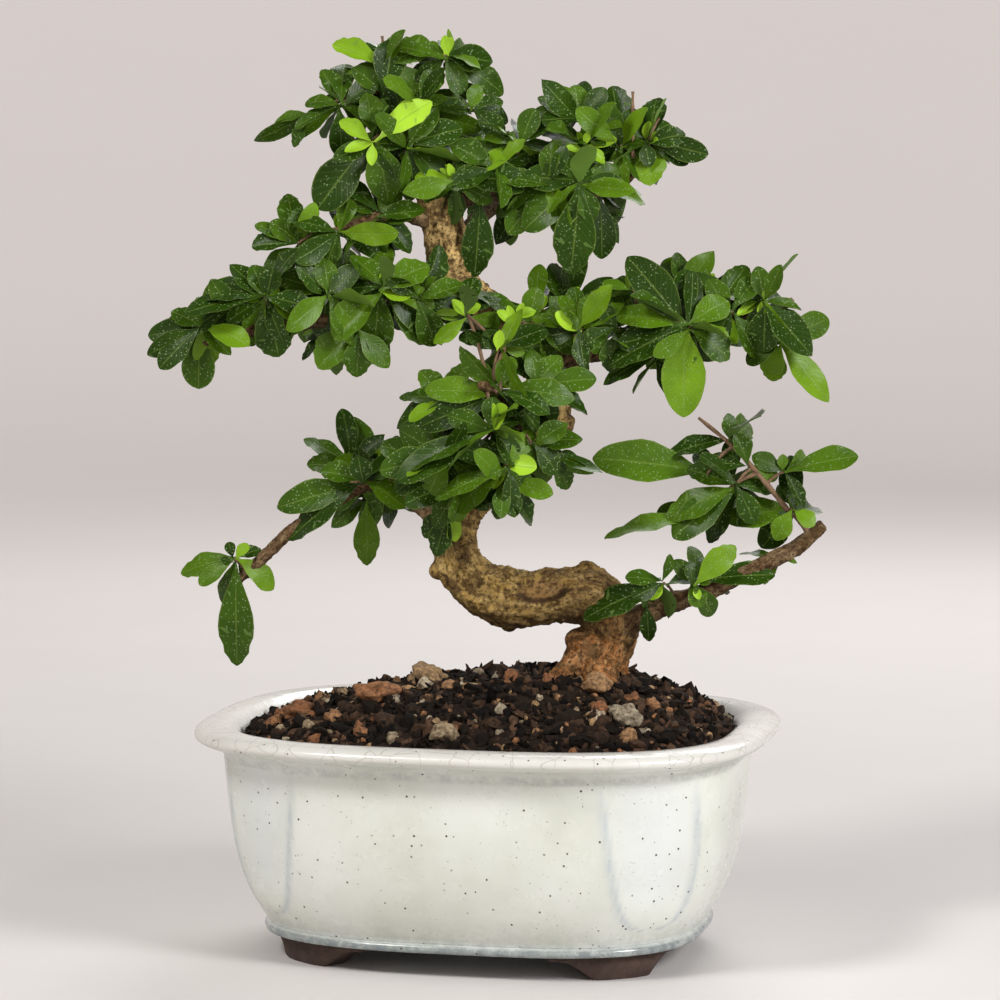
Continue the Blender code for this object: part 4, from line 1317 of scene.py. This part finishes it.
# %% Leaf finish
def leaf_finish():
    paint = Paint("leaf", roughness=0.28, Specular_IOR_Level=0.13)
    where = paint.place()
    tone = paint.attribute("tone")
    cloud = paint.maths("SUBTRACT", paint.noise(where, 9, 2), 0.5)
    spread = paint.plus(tone, paint.times(cloud, 0.22))
    green = paint.ramp(
        spread, (0.0, (0.008, 0.022, 0.001)), (0.25, (0.019, 0.048, 0.002)), (0.5, (0.070, 0.145, 0.004)),
        (0.75, (0.165, 0.300, 0.010)), (1.0, (0.310, 0.520, 0.030)),
    )
    uv = paint.node("ShaderNodeUVMap", uv_map="UVMap").outputs[0]
    parts = paint.node("ShaderNodeSeparateXYZ", [(0, uv)])
    across, along = parts.outputs[0], parts.outputs[1]
    under = paint.maths("GREATER_THAN", across, 1.01)
    side = paint.maths("ABSOLUTE", paint.maths("SUBTRACT", paint.maths("FRACT", across), 0.5), 0.0)
    rib = paint.ramp(side, (0.008, 0.42), (0.035, 0.0))
    rib_green = paint.mix(0.35, green, (0.16, 0.28, 0.05))
    # painted highlight: a pale rim of light along the leaf's edges, mixed in with the midrib
    edge_highlight = paint.ramp(side, (0.455, 0.0), (0.495, 0.45))
    ribbed_and_edge_lit = paint.mix(paint.plus(rib, edge_highlight), green, (0.15, 0.22, 0.04))
    slant = paint.maths("SUBTRACT", along, paint.times(side, 0.55))
    veins = paint.maths("SINE", paint.times(slant, 62.0), 0.0)
    vein_line = paint.ramp(veins, (0.70, 0.0), (1.0, 0.20))
    veined = paint.mix(vein_line, ribbed_and_edge_lit, rib_green)
    dot = paint.ramp(paint.cells(where, 0.80), (0.13, 0.60), (0.25, 0.0))
    old = paint.ramp(tone, (0.30, 1.0), (0.75, 0.25))
    dotted = paint.mix(paint.times(dot, old), veined, (0.27, 0.35, 0.18))
    pale = paint.mix(0.5, green, (0.13, 0.22, 0.050))
    paint.colour(paint.mix(under, dotted, pale))
    paint.roughness(paint.mix(under, (0.33, 0.33, 0.33), (0.55, 0.55, 0.55)))
    height = paint.maths("SUBTRACT", paint.times(dot, 0.6), paint.plus(rib, vein_line))
    paint.bump(height, 0.5, 0.25)
    return paint.material


leaf = leaf_finish()
print("leaf finish made")

# %% [markdown]
# ## Where the leaves sit
# Leaves come in rosettes at the ends of short twigs. Each rosette below is a bud's place on the
# sheet, then its leaves: the angle each one points at (0 to the right, 90 up), how long it looks,
# how wide it looks, and its tone. A leaf that looks too wide for its length must lean towards the
# viewer, and one that looks too narrow is seen edge on, so its real length, lean and roll follow.

# %% The rosettes of each branch
# (across, up, towards the viewer), then (angle, length, width, tone)
ROSETTES = {
    "crown_left": [
        ((-15, 230, 6), [(-5, 16, 12, .15), (162, 19, 8, .35), (155, 10, 5, .5), (-21, 23, 9, .3),
            (100, 7, 4, .9), (60, 7, 4, .95), (205, 15, 8, .2), (-60, 14, 8, .3)]),
        ((-36.5, 227, 6), [(119, 11.5, 6, .2), (155, 20, 7, .75), (180, 13, 6, .5), (28, 16, 8, .3),
            (60, 12, 7, .4), (215, 15, 8, .25), (-25, 18, 9, .35)]),
        ((-37, 217, 8), [(80, 20, 12, .12), (140, 14, 7, .3), (20, 15, 8, .4)]),
        ((-40, 201.5, 16), [(41, 24, 9, .97), (145, 13, 6, .8), (20, 10, 6, .45), (206, 11, 5, .9),
            (-130, 30, 16, .15), (-76, 23, 13, .35), (-90, 8, 4, .9), (100, 16, 9, .4),
            (75, 14, 8, .3)]),
        ((-51, 214, 8), [(203, 18, 5, .3), (212, 19, 7, .4), (200, 15, 7, .15), (165, 13, 7, .35),
            (120, 14, 7, .3), (40, 15, 9, .2), (-20, 17, 9, .3)]),
        ((-62, 210, 6), [(207, 21, 4, .3), (185, 12, 6, .4), (240, 11, 6, .25)]),
        ((-24, 214, 8), [(-5, 16, 9, .15), (-24, 24, 6, .4), (10, 9, 7, .35), (-10, 18, 8, .15),
            (60, 15, 8, .3), (125, 15, 8, .25), (190, 14, 9, .3), (-60, 17, 9, .35)]),
        ((-6, 212, 6), [(-5, 13, 7, .15), (25, 12, 7, .3), (-38, 15, 8, .25), (75, 10, 6, .45)]),
        ((-12.6, 187, 16), [(40, 16.5, 8, .92), (168, 13.6, 8, .75), (110, 6, 3, .9), (125, 6, 3, .95),
            (140, 6, 3, .9), (7, 27, 13, .15), (65, 13, 7, .4), (200, 12, 7, .3), (-20, 14, 7, .35)]),
        ((-28, 199, 14), [(60, 18, 9, .3), (120, 16, 9, .3), (20, 20, 10, .2), (170, 16, 9, .25),
            (-40, 18, 9, .3), (-80, 15, 9, .25)]),
    ],
    "upper_left": [
        ((-52, 170, 14), [(-5, 13, 7, .45), (200, 18, 9, .35), (110, 6, 3, .9), (-113, 14, 8, .3),
            (-12, 21, 12, .15), (160, 16, 9, .2), (35, 14, 8, .35), (75, 12, 7, .4)]),
        ((-66, 166, 10), [(180, 16, 9, .2), (215, 16, 9, .3), (140, 13, 8, .35), (95, 11, 7, .3),
            (-60, 14, 8, .2)]),
        ((-38, 176, 12), [(150, 14, 8, .3), (60, 14, 8, .4), (10, 17, 9, .3), (-50, 17, 9, .2),
            (-100, 14, 8, .3)]),
    ],
    "mid_left": [
        ((-37, 151, 22), [(35, 19.5, 11, .45), (-9, 11, 8, .75), (85, 6, 3, .9), (221, 23.6, 12, .45),
            (-95, 26, 13, .3), (-42, 25.5, 13, .3), (177, 20, 10, .15), (-30, 24, 14, .15),
            (130, 16, 9, .35)]),
        ((-24, 148, 20), [(-20, 22, 12, .2), (20, 17, 9, .35), (-65, 18, 10, .3), (75, 13, 8, .4),
            (140, 14, 8, .3)]),
        ((-55, 149, 20), [(215, 20, 11, .25), (160, 17, 10, .3), (-60, 20, 11, .35), (-100, 18, 10, .2),
            (100, 13, 8, .35), (45, 15, 9, .2)]),
        ((-77, 148, 20), [(187, 28.5, 12, .2), (-72, 21.6, 14, .25), (174, 23, 10, .15),
            (80, 10, 8, .15), (40, 6, 4, .6), (170, 9, 5, .45), (10, 13, 7, .35), (-8, 17, 9, .15),
            (-28, 18, 9, .6), (130, 17, 9, .2), (110, 13, 8, .3)]),
        ((-45, 137, 20), [(223, 19.6, 12, .45), (-95, 17, 10, .3), (-50, 17, 9, .4)]),
        ((-99.5, 137.5, 13), [(223, 20, 10, .15), (230, 10, 7, .3), (-92, 20.5, 12, .3),
            (-72, 14.5, 10, .6), (185, 19, 9, .2), (150, 12, 8, .3), (-40, 14, 8, .4),
            (20, 14, 8, .3)]),
        ((-89, 144, 16), [(200, 20, 10, .15), (-105, 17, 10, .25), (120, 13, 7, .3),
            (-50, 16, 9, .35)]),
    ],
    "crown_right": [
        ((31, 187, 18), [(220, 25, 13, .3), (-95, 32, 15, .25), (238, 20, 11, .45), (-102, 15, 9, .2),
            (-75, 13, 8, .3), (175, 20, 10, .25), (30, 15, 8, .35), (130, 16, 9, .3), (0, 17, 9, .2)]),
        ((33, 199, 14), [(6, 10, 5, .95), (60, 5, 3, .95), (180, 7, 4, .9), (120, 6, 3, .9),
            (-40, 9, 5, .8)]),
        ((-4, 183, 10), [(-92, 28, 11, .15)]),
        ((20, 187, 14), [(200, 21, 10, .3), (165, 20, 9, .3), (-60, 22, 11, .3), (80, 14, 8, .35),
            (230, 22, 11, .35)]),
        ((31, 208.5, 8), [(130, 17, 10, .45), (180, 13, 9, .15), (160, 10, 6, .12), (142, 16.5, 9, .3),
            (180, 14, 7, .15), (165, 17, 5, .3), (60, 14, 8, .25), (20, 15, 8, .3), (95, 13, 8, .4)]),
        ((54, 201, 12), [(-95, 7, 4, .95), (20, 6, 4, .9), (0, 4, 3, .95), (80, 7, 4, .95),
            (20, 13.5, 8, .15), (0, 7, 4, .9), (-26, 15.4, 7, .12), (-35, 11, 4, .2),
            (-90, 14.5, 12, .6), (230, 10, 6, .3), (-80, 9, 6, .15), (170, 9, 6, .3), (-37, 11, 3, .4),
            (45, 12, 7, .3), (130, 12, 7, .3)]),
        ((44, 200, 12), [(70, 14, 8, .25), (110, 15, 8, .3), (10, 17, 9, .2), (-40, 15, 9, .3),
            (190, 16, 9, .2), (150, 15, 8, .25)]),
        ((10, 200, 8), [(164, 16, 6, .4), (180, 14, 8, .15), (200, 14, 8, .15), (-10, 12, 7, .3),
            (70, 14, 8, .3), (30, 15, 8, .25), (-60, 15, 9, .3)]),
        ((2, 192, 12), [(150, 17, 9, .3), (40, 17, 9, .2), (-10, 22, 12, .15), (95, 13, 8, .35),
            (200, 15, 8, .3)]),
    ],
    "mid_right": [
        ((68, 138, 20), [(129, 31, 13, .15), (95, 19, 9, .15), (38, 16, 10, .45), (200, 31, 15, .15),
            (-92, 32, 15, .6), (-110, 14, 12, .15), (170, 26, 10, .45), (190, 25, 11, .15),
            (-70, 13, 9, .6), (147, 22, 5, .3), (-30, 17, 10, .3), (5, 18, 10, .25)]),
        ((57, 128, 16), [(228, 15, 4, .4), (200, 20, 10, .3), (150, 17, 9, .45), (-60, 17, 10, .2)]),
        ((49, 150, 16), [(163, 11, 5, .4), (110, 5, 3, .95), (40, 6, 3, .9)]),
        ((94, 147, 16), [(-45, 25, 16, .15), (-94, 17, 13, .15), (214, 10, 4, .9), (-95, 7, 4, .9),
            (137, 10, 6, .15), (80, 4, 3, .9), (-9, 14.4, 6, .35), (56, 19, 5, .3), (169, 14.6, 5, .35),
            (180, 10, 6, .3), (250, 13, 8, .12), (100, 12, 7, .3)]),
        ((83, 143, 16), [(-120, 20, 12, .2), (-60, 18, 10, .3), (170, 18, 9, .2), (60, 15, 8, .3),
            (120, 14, 8, .35)]),
        ((100, 132, 12), [(-49, 26, 11, .62), (-97, 14, 10, .6), (-110, 12, 8, .6), (-150, 14, 8, .3)]),
        ((31, 137, 18), [(150, 11, 7, .95), (-90, 6, 4, .9), (165, 17, 8, .45), (190, 16, 8, .15),
            (35, 17, 9, .45), (-40, 12, 8, .3), (110, 14, 7, .4), (75, 13, 7, .35)]),
        ((44, 137, 14), [(100, 15, 8, .3), (50, 15, 8, .35), (160, 15, 8, .4), (-100, 15, 9, .3),
            (0, 17, 9, .2)]),
        ((9, 140, 20), [(27, 8, 4, .8), (110, 6, 3, .95), (70, 6, 3, .95), (150, 7, 4, .9)]),
        ((14, 138, 14), [(20, 18, 8, .4), (143, 25, 10, .3), (80, 14, 8, .4), (-20, 18, 9, .3)]),
    ],
    "front": [
        ((-7.7, 142, 22), [(180, 11.5, 3, .65), (100, 7, 4, .95), (70, 6, 3, .95), (135, 7, 4, .9),
            (20, 6, 4, .9)]),
        ((3, 131, 26), [(120, 8, 7, .15), (40, 8, 5, .9), (80, 7, 4, .95), (160, 9, 5, .7),
            (-10, 9, 5, .6)]),
        ((3, 116.6, 34), [(175, 25, 9, .5), (2, 26, 7, .35), (40, 6, 4, .8), (200, 30, 11, .15),
            (130, 16, 8, .35), (75, 13, 7, .4), (-30, 19, 10, .25)]),
        ((-14, 113, 26), [(170, 18, 9, .3), (205, 22, 10, .2), (130, 14, 8, .35), (240, 18, 10, .3),
            (80, 12, 7, .45)]),
        ((16, 118, 24), [(10, 20, 9, .35), (-25, 20, 10, .2), (55, 14, 8, .4), (100, 13, 7, .35),
            (-70, 17, 9, .25)]),
        ((1, 104.4, 38), [(88, 11.5, 7, .3), (100, 9, 3, .95), (45, 11, 9, .92), (205, 37, 10, .25),
            (198, 34, 12, .3), (10, 10, 6, .15), (-20, 8, 5, .4), (-60, 16, 9, .2), (160, 16, 8, .3)]),
        ((5.6, 91.7, 38), [(-12, 11, 8, .97), (250, 9, 5, .95), (-45, 14, 9, .25), (198, 26, 4, .4),
            (210, 24, 13, .45), (-60, 9, 6, .3), (160, 20, 9, .25), (100, 13, 8, .3), (35, 14, 8, .3)]),
        ((14, 99, 34), [(-45, 14, 9, .2), (-32, 16, 9, .15), (5, 17, 9, .3), (40, 14, 8, .35)]),
        ((22, 94, 28), [(5, 8, 6, .15), (-30, 15, 4, .4), (-60, 12, 7, .3), (-15, 18, 8, .25)]),
        ((5.6, 86, 34), [(-75, 12, 8, .25), (-67, 12, 6, .15), (-38, 10, 6, .3), (215, 15, 9, .2),
            (180, 14, 8, .3), (250, 13, 8, .25)]),
        ((-15, 95, 30), [(190, 24, 11, .3), (215, 22, 10, .2), (245, 18, 10, .45), (160, 16, 9, .3),
            (-70, 15, 9, .2)]),
        ((-10, 86, 28), [(200, 20, 10, .2), (235, 19, 10, .3), (-95, 14, 8, .5), (-45, 15, 8, .25),
            (170, 15, 8, .35)]),
        ((-14, 76, 22), [(-108, 17, 9, .15), (250, 13, 3, .95), (-80, 12, 6, .85), (225, 14, 7, .2)]),
    ],
    "low_left": [
        ((-44, 84.5, 18), [(100, 10, 8, .15), (194, 30, 4, .3), (214, 32, 12, .15), (-25, 17, 9, .45),
            (165, 15, 8, .3)]),
        ((-30, 87, 18), [(240, 11, 6, .7), (25, 17, 9, .3), (170, 17, 9, .25), (-20, 17, 9, .4)]),
        ((-20, 92, 20), [(160, 19, 10, .3), (190, 20, 10, .2), (135, 14, 8, .4), (60, 15, 8, .3)]),
        ((-88.5, 57, 14), [(105, 6, 4, .15), (190, 21, 11, .45), (160, 5, 3, .15), (212, 15, 7, .45),
            (-27, 17.5, 8, .6), (27, 9, 5, .15), (-90, 37, 11, .3), (250, 18, 8, .3), (-50, 8, 5, .3),
            (60, 7, 4, .7)]),
    ],
    "low_right": [
        ((83, 98.6, 14), [(60, 17, 16, .15), (187, 23, 10, .15), (95, 10, 6, .3)]),
        ((75, 86.5, 14), [(171, 40, 9, .4)]),
        ((74, 72.5, 14), [(184, 35, 9, .5)]),
        ((89, 89.6, 14), [(170, 16, 8, .15), (-5, 12, 7, .45), (110, 12, 7, .3)]),
        ((85, 83, 14), [(200, 26, 12, .4), (215, 28, 13, .3), (242, 24, 9, .15), (160, 18, 9, .3),
            (-60, 15, 8, .25)]),
        ((102, 87.5, 14), [(17, 26, 10, .4), (90, 6, 4, .5), (-60, 15, 6, .1), (150, 12, 7, .3)]),
        ((105, 74, 12), [(184, 24, 13, .45), (223, 13.4, 9, .15), (240, 12, 8, .55), (-20, 8, 7, .6),
            (120, 10, 6, .3), (80, 7, 4, .4)]),
        ((102, 57.6, 12), [(231, 11.7, 5, .75), (-20, 5, 3, .5)]),
        ((60, 49.4, 20), [(197, 31, 15, .12), (205, 12, 7, .15), (72, 10, 3, .3), (230, 7, 4, .9),
            (170, 13, 7, .3)]),
        ((70, 49.4, 18), [(47, 20, 9, .6), (95, 9, 5, .15), (10, 28, 9, .2), (-70, 5, 3, .9),
            (-60, 7.5, 7, .4), (0, 6, 4, .4), (130, 11, 6, .3)]),
        ((55, 42, 14), [(-85, 13, 6, .15), (-110, 8, 5, .3)]),
    ],
}
shown = sum(len(leaves) for group in ROSETTES.values() for _, leaves in group)
print("rosettes", sum(len(group) for group in ROSETTES.values()), "leaves", shown)

# %% [markdown]
# Rules fill in what a drawing from one side can't say. Every rosette also has a few leaves that
# lean away from the viewer, a full one has some that fill its gaps, and the branches that grow
# backwards have rosettes of their own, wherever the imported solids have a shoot. All take their
# turns from the golden angle, as real leaves on a stem do.

# %% Rules for the far side
GOLDEN = 137.5
NATURAL_WIDTH = 0.43  # a leaf's width against its length
TREE_TOP = 240  # mm over the rim
LONG_LEAF = 24  # mm; a longer one than this lies nearly flat to the viewer
draw = random.Random(41)


def leaf_row(bud, angle, lean, length, width, roll, tone, kind):
    """One leaf as the numbers that its instance needs; angles in degrees, sizes in mm."""
    a, b, r = math.radians(angle), math.radians(lean), math.radians(roll)
    way = sheet_way(math.cos(a) * math.cos(b), math.sin(a) * math.cos(b), math.sin(b)).normalized()
    face = sheet_way(0, 0.62, 0.80)
    if abs(face.dot(way)) > 0.93:
        face = sheet_way(0, 1, 0.1)
    face = (face - way * face.dot(way)).normalized()
    face = Matrix.Rotation(r, 3, way) @ face
    rise = way.z * length
    room = TREE_TOP - (bud.z - RIM_TOP) / MM
    if rise > room:
        shrink = max(0.35, room / rise)
        length, width = length * shrink, width * shrink
    base = bud + sheet_way(draw.uniform(-0.9, 0.9), draw.uniform(-1.2, 0.8), draw.uniform(-4, 3)) * MM
    return (base, way, face, (length * MM, width * MM, length * MM), tone, kind)


def seen_leaf(bud, angle, length, width, tone):
    """A leaf given by how it looks from the front."""
    real_length = max(length, width / 0.75, 5.0)
    real_width = max(width, 0.35 * real_length)
    lean = math.degrees(math.acos(min(1.0, length / real_length)))
    roll = math.degrees(math.acos(min(1.0, width / real_width)))
    lean += draw.uniform(-6, 10)
    roll = roll * draw.choice((-1, 1)) + draw.uniform(-12, 12)
    if length > LONG_LEAF:
        roll = draw.uniform(-14, 14)
        return leaf_row(bud, angle, 4, real_length, real_width, roll, tone, draw.choice((0, 1, 2)))
    if tone > 0.85 and length < 12:
        kind = 6
    elif width > 0.62 * length:
        kind = draw.choice((1, 2, 5))
    else:
        kind = draw.choice((0, 1, 1, 2, 3, 4, 5))
    return leaf_row(bud, angle, lean, real_length, real_width, roll, tone, kind)


def ruled_leaves(bud, count, first, lengths, tones, leans, tip_over):
    """Leaves set round a bud by the golden angle, each drawn between the limits given."""
    rows = []
    for i in range(count):
        length = draw.uniform(*lengths)
        tone = draw.choice(tones)
        lean = draw.uniform(*leans)
        roll = draw.uniform(-tip_over, tip_over)
        kind = draw.randrange(6)
        angle = first + GOLDEN * i
        rows.append(leaf_row(bud, angle, lean, length, NATURAL_WIDTH * length, roll, tone, kind))
    return rows


def hidden_leaves(bud, count, first):
    """Leaves that lean away from the viewer."""
    return ruled_leaves(bud, count, first, (15, 23), (0.15, 0.2, 0.3, 0.4), (-18, -62), 30)


def filling_leaves(bud, count, first):
    """Leaves that fill the gaps between the ones drawn."""
    return ruled_leaves(bud, count, first, (13, 21), (0.15, 0.25, 0.35, 0.5, 0.6), (-15, 50), 60)


def back_rosettes(node):
    """Rosettes spread through the box of a shoot on the far side."""
    low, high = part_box(node)
    middle, reach = (low + high) / 2, (high - low) / 2
    away = sheet_way(0, 0.25, -1).normalized()
    rows, buds = [], []
    for i in range(4):
        turn = math.radians(GOLDEN * i)
        bud = middle + Vector((reach.x * 0.34 * math.cos(turn), 0, reach.z * 0.30 * math.sin(turn)))
        bud += away * (0.1 * reach.y * (i - 1.5))
        buds.append(bud)
        for k in range(9):
            length = draw.uniform(15, 24)
            lean = draw.uniform(-65, 25)
            tone = draw.choice((0.12, 0.2, 0.3, 0.35, 0.5))
            roll = draw.uniform(-25, 25)
            kind = draw.randrange(6)
            angle = GOLDEN * k + 40 * i
            rows.append(leaf_row(bud, angle, lean, length, NATURAL_WIDTH * length, roll, tone, kind))
        for k in range(2):
            rows.append(leaf_row(bud, 60 + 50 * k, -20, 7, 3.4, 0, 0.92, 6))
    return rows, buds


print("rules ready")

# %% [markdown]
# ## The foliage tree
# The rows become points that carry where each leaf goes, how it faces, its size, its kind and its
# tone. One tree turns any such set of points into leaves.

# %% Foliage by Geometry Nodes
foliage = Grower("foliage", Kinds="Collection", Finish="Material")
kinds = foliage.node(
    "GeometryNodeCollectionInfo", [("Collection", foliage.given("Kinds")), (1, True), (2, True)]
)
face, way, span = (foliage.named(label, "FLOAT_VECTOR") for label in ("face", "way", "span"))
aimed = foliage.node(
    "FunctionNodeAxesToRotation", [("Primary Axis", face), ("Secondary Axis", way)],
    primary_axis="Z", secondary_axis="X",
)
leafed = foliage.node(
    "GeometryNodeInstanceOnPoints",
    [("Points", foliage.given("Geometry")), ("Instance", kinds.outputs[0]), ("Pick Instance", True),
     ("Instance Index", foliage.named("kind", "INT")), ("Rotation", aimed.outputs[0]), ("Scale", span)],
)
foliage.finish(leafed.outputs[0])


def leaf_points(name, rows):
    """A mesh of loose points that carry the rows."""
    mesh = bpy.data.meshes.new(name)
    mesh.from_pydata([row[0] for row in rows], [], [])
    for label, column in (("way", 1), ("face", 2), ("span", 3)):
        numbers = [number for row in rows for number in row[column]]
        mark(mesh, label, numbers, "FLOAT_VECTOR", "vector")
    mark(mesh, "tone", [row[4] for row in rows])
    mark(mesh, "kind", [row[5] for row in rows], "INT")
    return mesh


# which packed shoots each branch's foliage stands for; one whose name ends in back gets rosettes
# by rule
SHOOTS = {
    "crown_left": ["tip", "crown_left_outer", "crown_left_front", "crown_left_right",
                   "crown_left_back"],
    "crown_right": ["crown_right_tip", "crown_right_top", "crown_right_low", "crown_right_mid",
                    "crown_right_outer", "crown_right_back"],
    "crown_back": ["crown_back"],
    "upper_left": ["upper_left", "upper_left_low"],
    "mid_left": ["mid_left_inner", "mid_left_top", "mid_left_outer", "mid_left_tip", "mid_left_back"],
    "mid_right": ["mid_right_inner", "mid_right_mid", "mid_right_outer", "mid_right_tip",
                  "mid_right_back"],
    "front": ["front_top", "front_tip", "front_low"],
    "back": ["back"],
    "low_left": ["low_left_inner", "low_left_tip"],
    "low_back": ["low_back"],
    "low_right": ["low_right_inner", "low_right_long", "low_right_tip"],
}
twig_ends = []
for branch, shoots in SHOOTS.items():
    rows = []
    for number, (bud, leaves) in enumerate(ROSETTES.get(branch, [])):
        place = sheet_point(*bud)
        twig_ends.append((branch, place))
        rows += [seen_leaf(place, *facts) for facts in leaves]
        full = len(leaves) > 4 and branch != "low_left"
        rows += hidden_leaves(place, 4 if full else 1, 35 + 70 * number)
        rows += filling_leaves(place, 3 if full and bud[1] > 75 else 0, 80 + 70 * number)
    for shoot in shoots:
        if not shoot.endswith("back"):
            continue
        back_rows, buds = back_rosettes("shoot_" + shoot)
        rows += back_rows
        twig_ends += [(branch, bud) for bud in buds]
    piece = foliage.grow(
        "leaves_" + branch, leaf_points(branch + "_points", rows), 75, ("way", "face", "span", "kind"),
        Kinds=blades, Finish=leaf,
    )
    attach(piece, "root")
    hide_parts(*["shoot_" + shoot for shoot in shoots])
    print(piece.name, len(rows), "leaves", len(piece.data.polygons), "faces")
discard(blades)

# %% [markdown]
# ## Twigs
# A thin twig joins every bud to the nearest wood of its branch. It bows upwards a little and is
# knotted where old leaves fell, so it is a tube whose thickness wavers. A few bare stubs and one
# long bare twig stand clear of the leaves, and each of them starts from the nearest wood too.

# %% Twig lines
TWIG_SIDES = 8
# across, up, towards the viewer, radius, all in mm
BARE_TWIGS = [
    [(103, 74, 12, 1.0), (94, 85, 13, 0.9), (84, 96, 13, 0.8), (72, 106, 12, 0.6)],
    [(49, 196, 12, 0.7), (49, 207, 12, 0.6), (49, 218, 12, 0.5)],
    [(54, 196, 12, 0.7), (55, 203, 12, 0.6), (58, 209, 12, 0.5)],
    [(-36, 226, 6, 0.7), (-36.5, 232, 6, 0.6), (-37, 237, 6, 0.5)],
    [(31, 187, 18, 0.7), (32, 193, 17, 0.6), (33, 199, 14, 0.5)],
    [(3, 116, 34, 0.8), (4.4, 122, 30, 0.8), (5, 132, 26, 0.7), (9, 140, 20, 0.5)],
    [(5, 130, 27, 0.7), (-1, 136, 24, 0.6), (-7.7, 142, 22, 0.5)],
    [(68, 138, 20, 0.7), (58, 145, 18, 0.6), (49, 150, 16, 0.5)],
]


def twig_line(start, end, root, tip):
    """A bowed line from a branch to a bud."""
    bow = (end - start).length * 0.10
    line = []
    for i in range(13):
        t = i / 12
        place = start.lerp(end, t) + Vector((0, 0, 1)) * bow * math.sin(math.pi * t)
        knot = 0.16 * max(0.0, math.sin(t * 19 + end.x * 900))
        line.append((place, (root + (tip - root) * t + knot) * MM))
    return line


def nearest_wood(spots, place):
    """The one of a line's places that lies nearest."""
    return min(spots, key=lambda spot: (spot[0] - place).length)[0]


shape = bmesh.new()
for branch, bud in twig_ends:
    spots = smooth_line(BRANCHES[branch], 12)
    if branch == "low_right":
        spots += smooth_line(BARE_TWIGS[0], 6)
    start = nearest_wood(spots, bud)
    thick = 0.5 + 0.009 * (bud - start).length / MM
    add_tube(shape, twig_line(start, bud, thick, 0.4), TWIG_SIDES)
all_spots = [spot for rows in BRANCHES.values() for spot in smooth_line(rows, 12)]
for rows in BARE_TWIGS:
    line = smooth_line(rows, 6)
    foot = line[0][0]
    add_tube(shape, twig_line(nearest_wood(all_spots, foot), foot, 1.1, rows[0][3]), TWIG_SIDES)
    knotted = []
    for i, (place, radius) in enumerate(line):
        knotted.append((place, radius + 0.12 * MM * math.sin(i * 1.7)))
    add_tube(shape, knotted, TWIG_SIDES)


# %% Twig bark
def twig_bark():
    paint = Paint("twig_bark", roughness=0.75, Specular_IOR_Level=0.25)
    where = paint.place()
    brown = paint.ramp(
        paint.noise(where, 3, 5, 0.7), (0.3, (0.085, 0.045, 0.025)), (0.6, (0.20, 0.125, 0.070)),
        (0.8, (0.33, 0.24, 0.15)),
    )
    paint.colour(brown)
    paint.bump(paint.noise(where, 0.7, 4, 0.7), 0.6, 0.3)
    return paint.material


twigs = finished("twigs", shape, twig_bark(), 80)
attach(twigs, "root")
print("twigs", len(twigs.data.polygons), "faces")
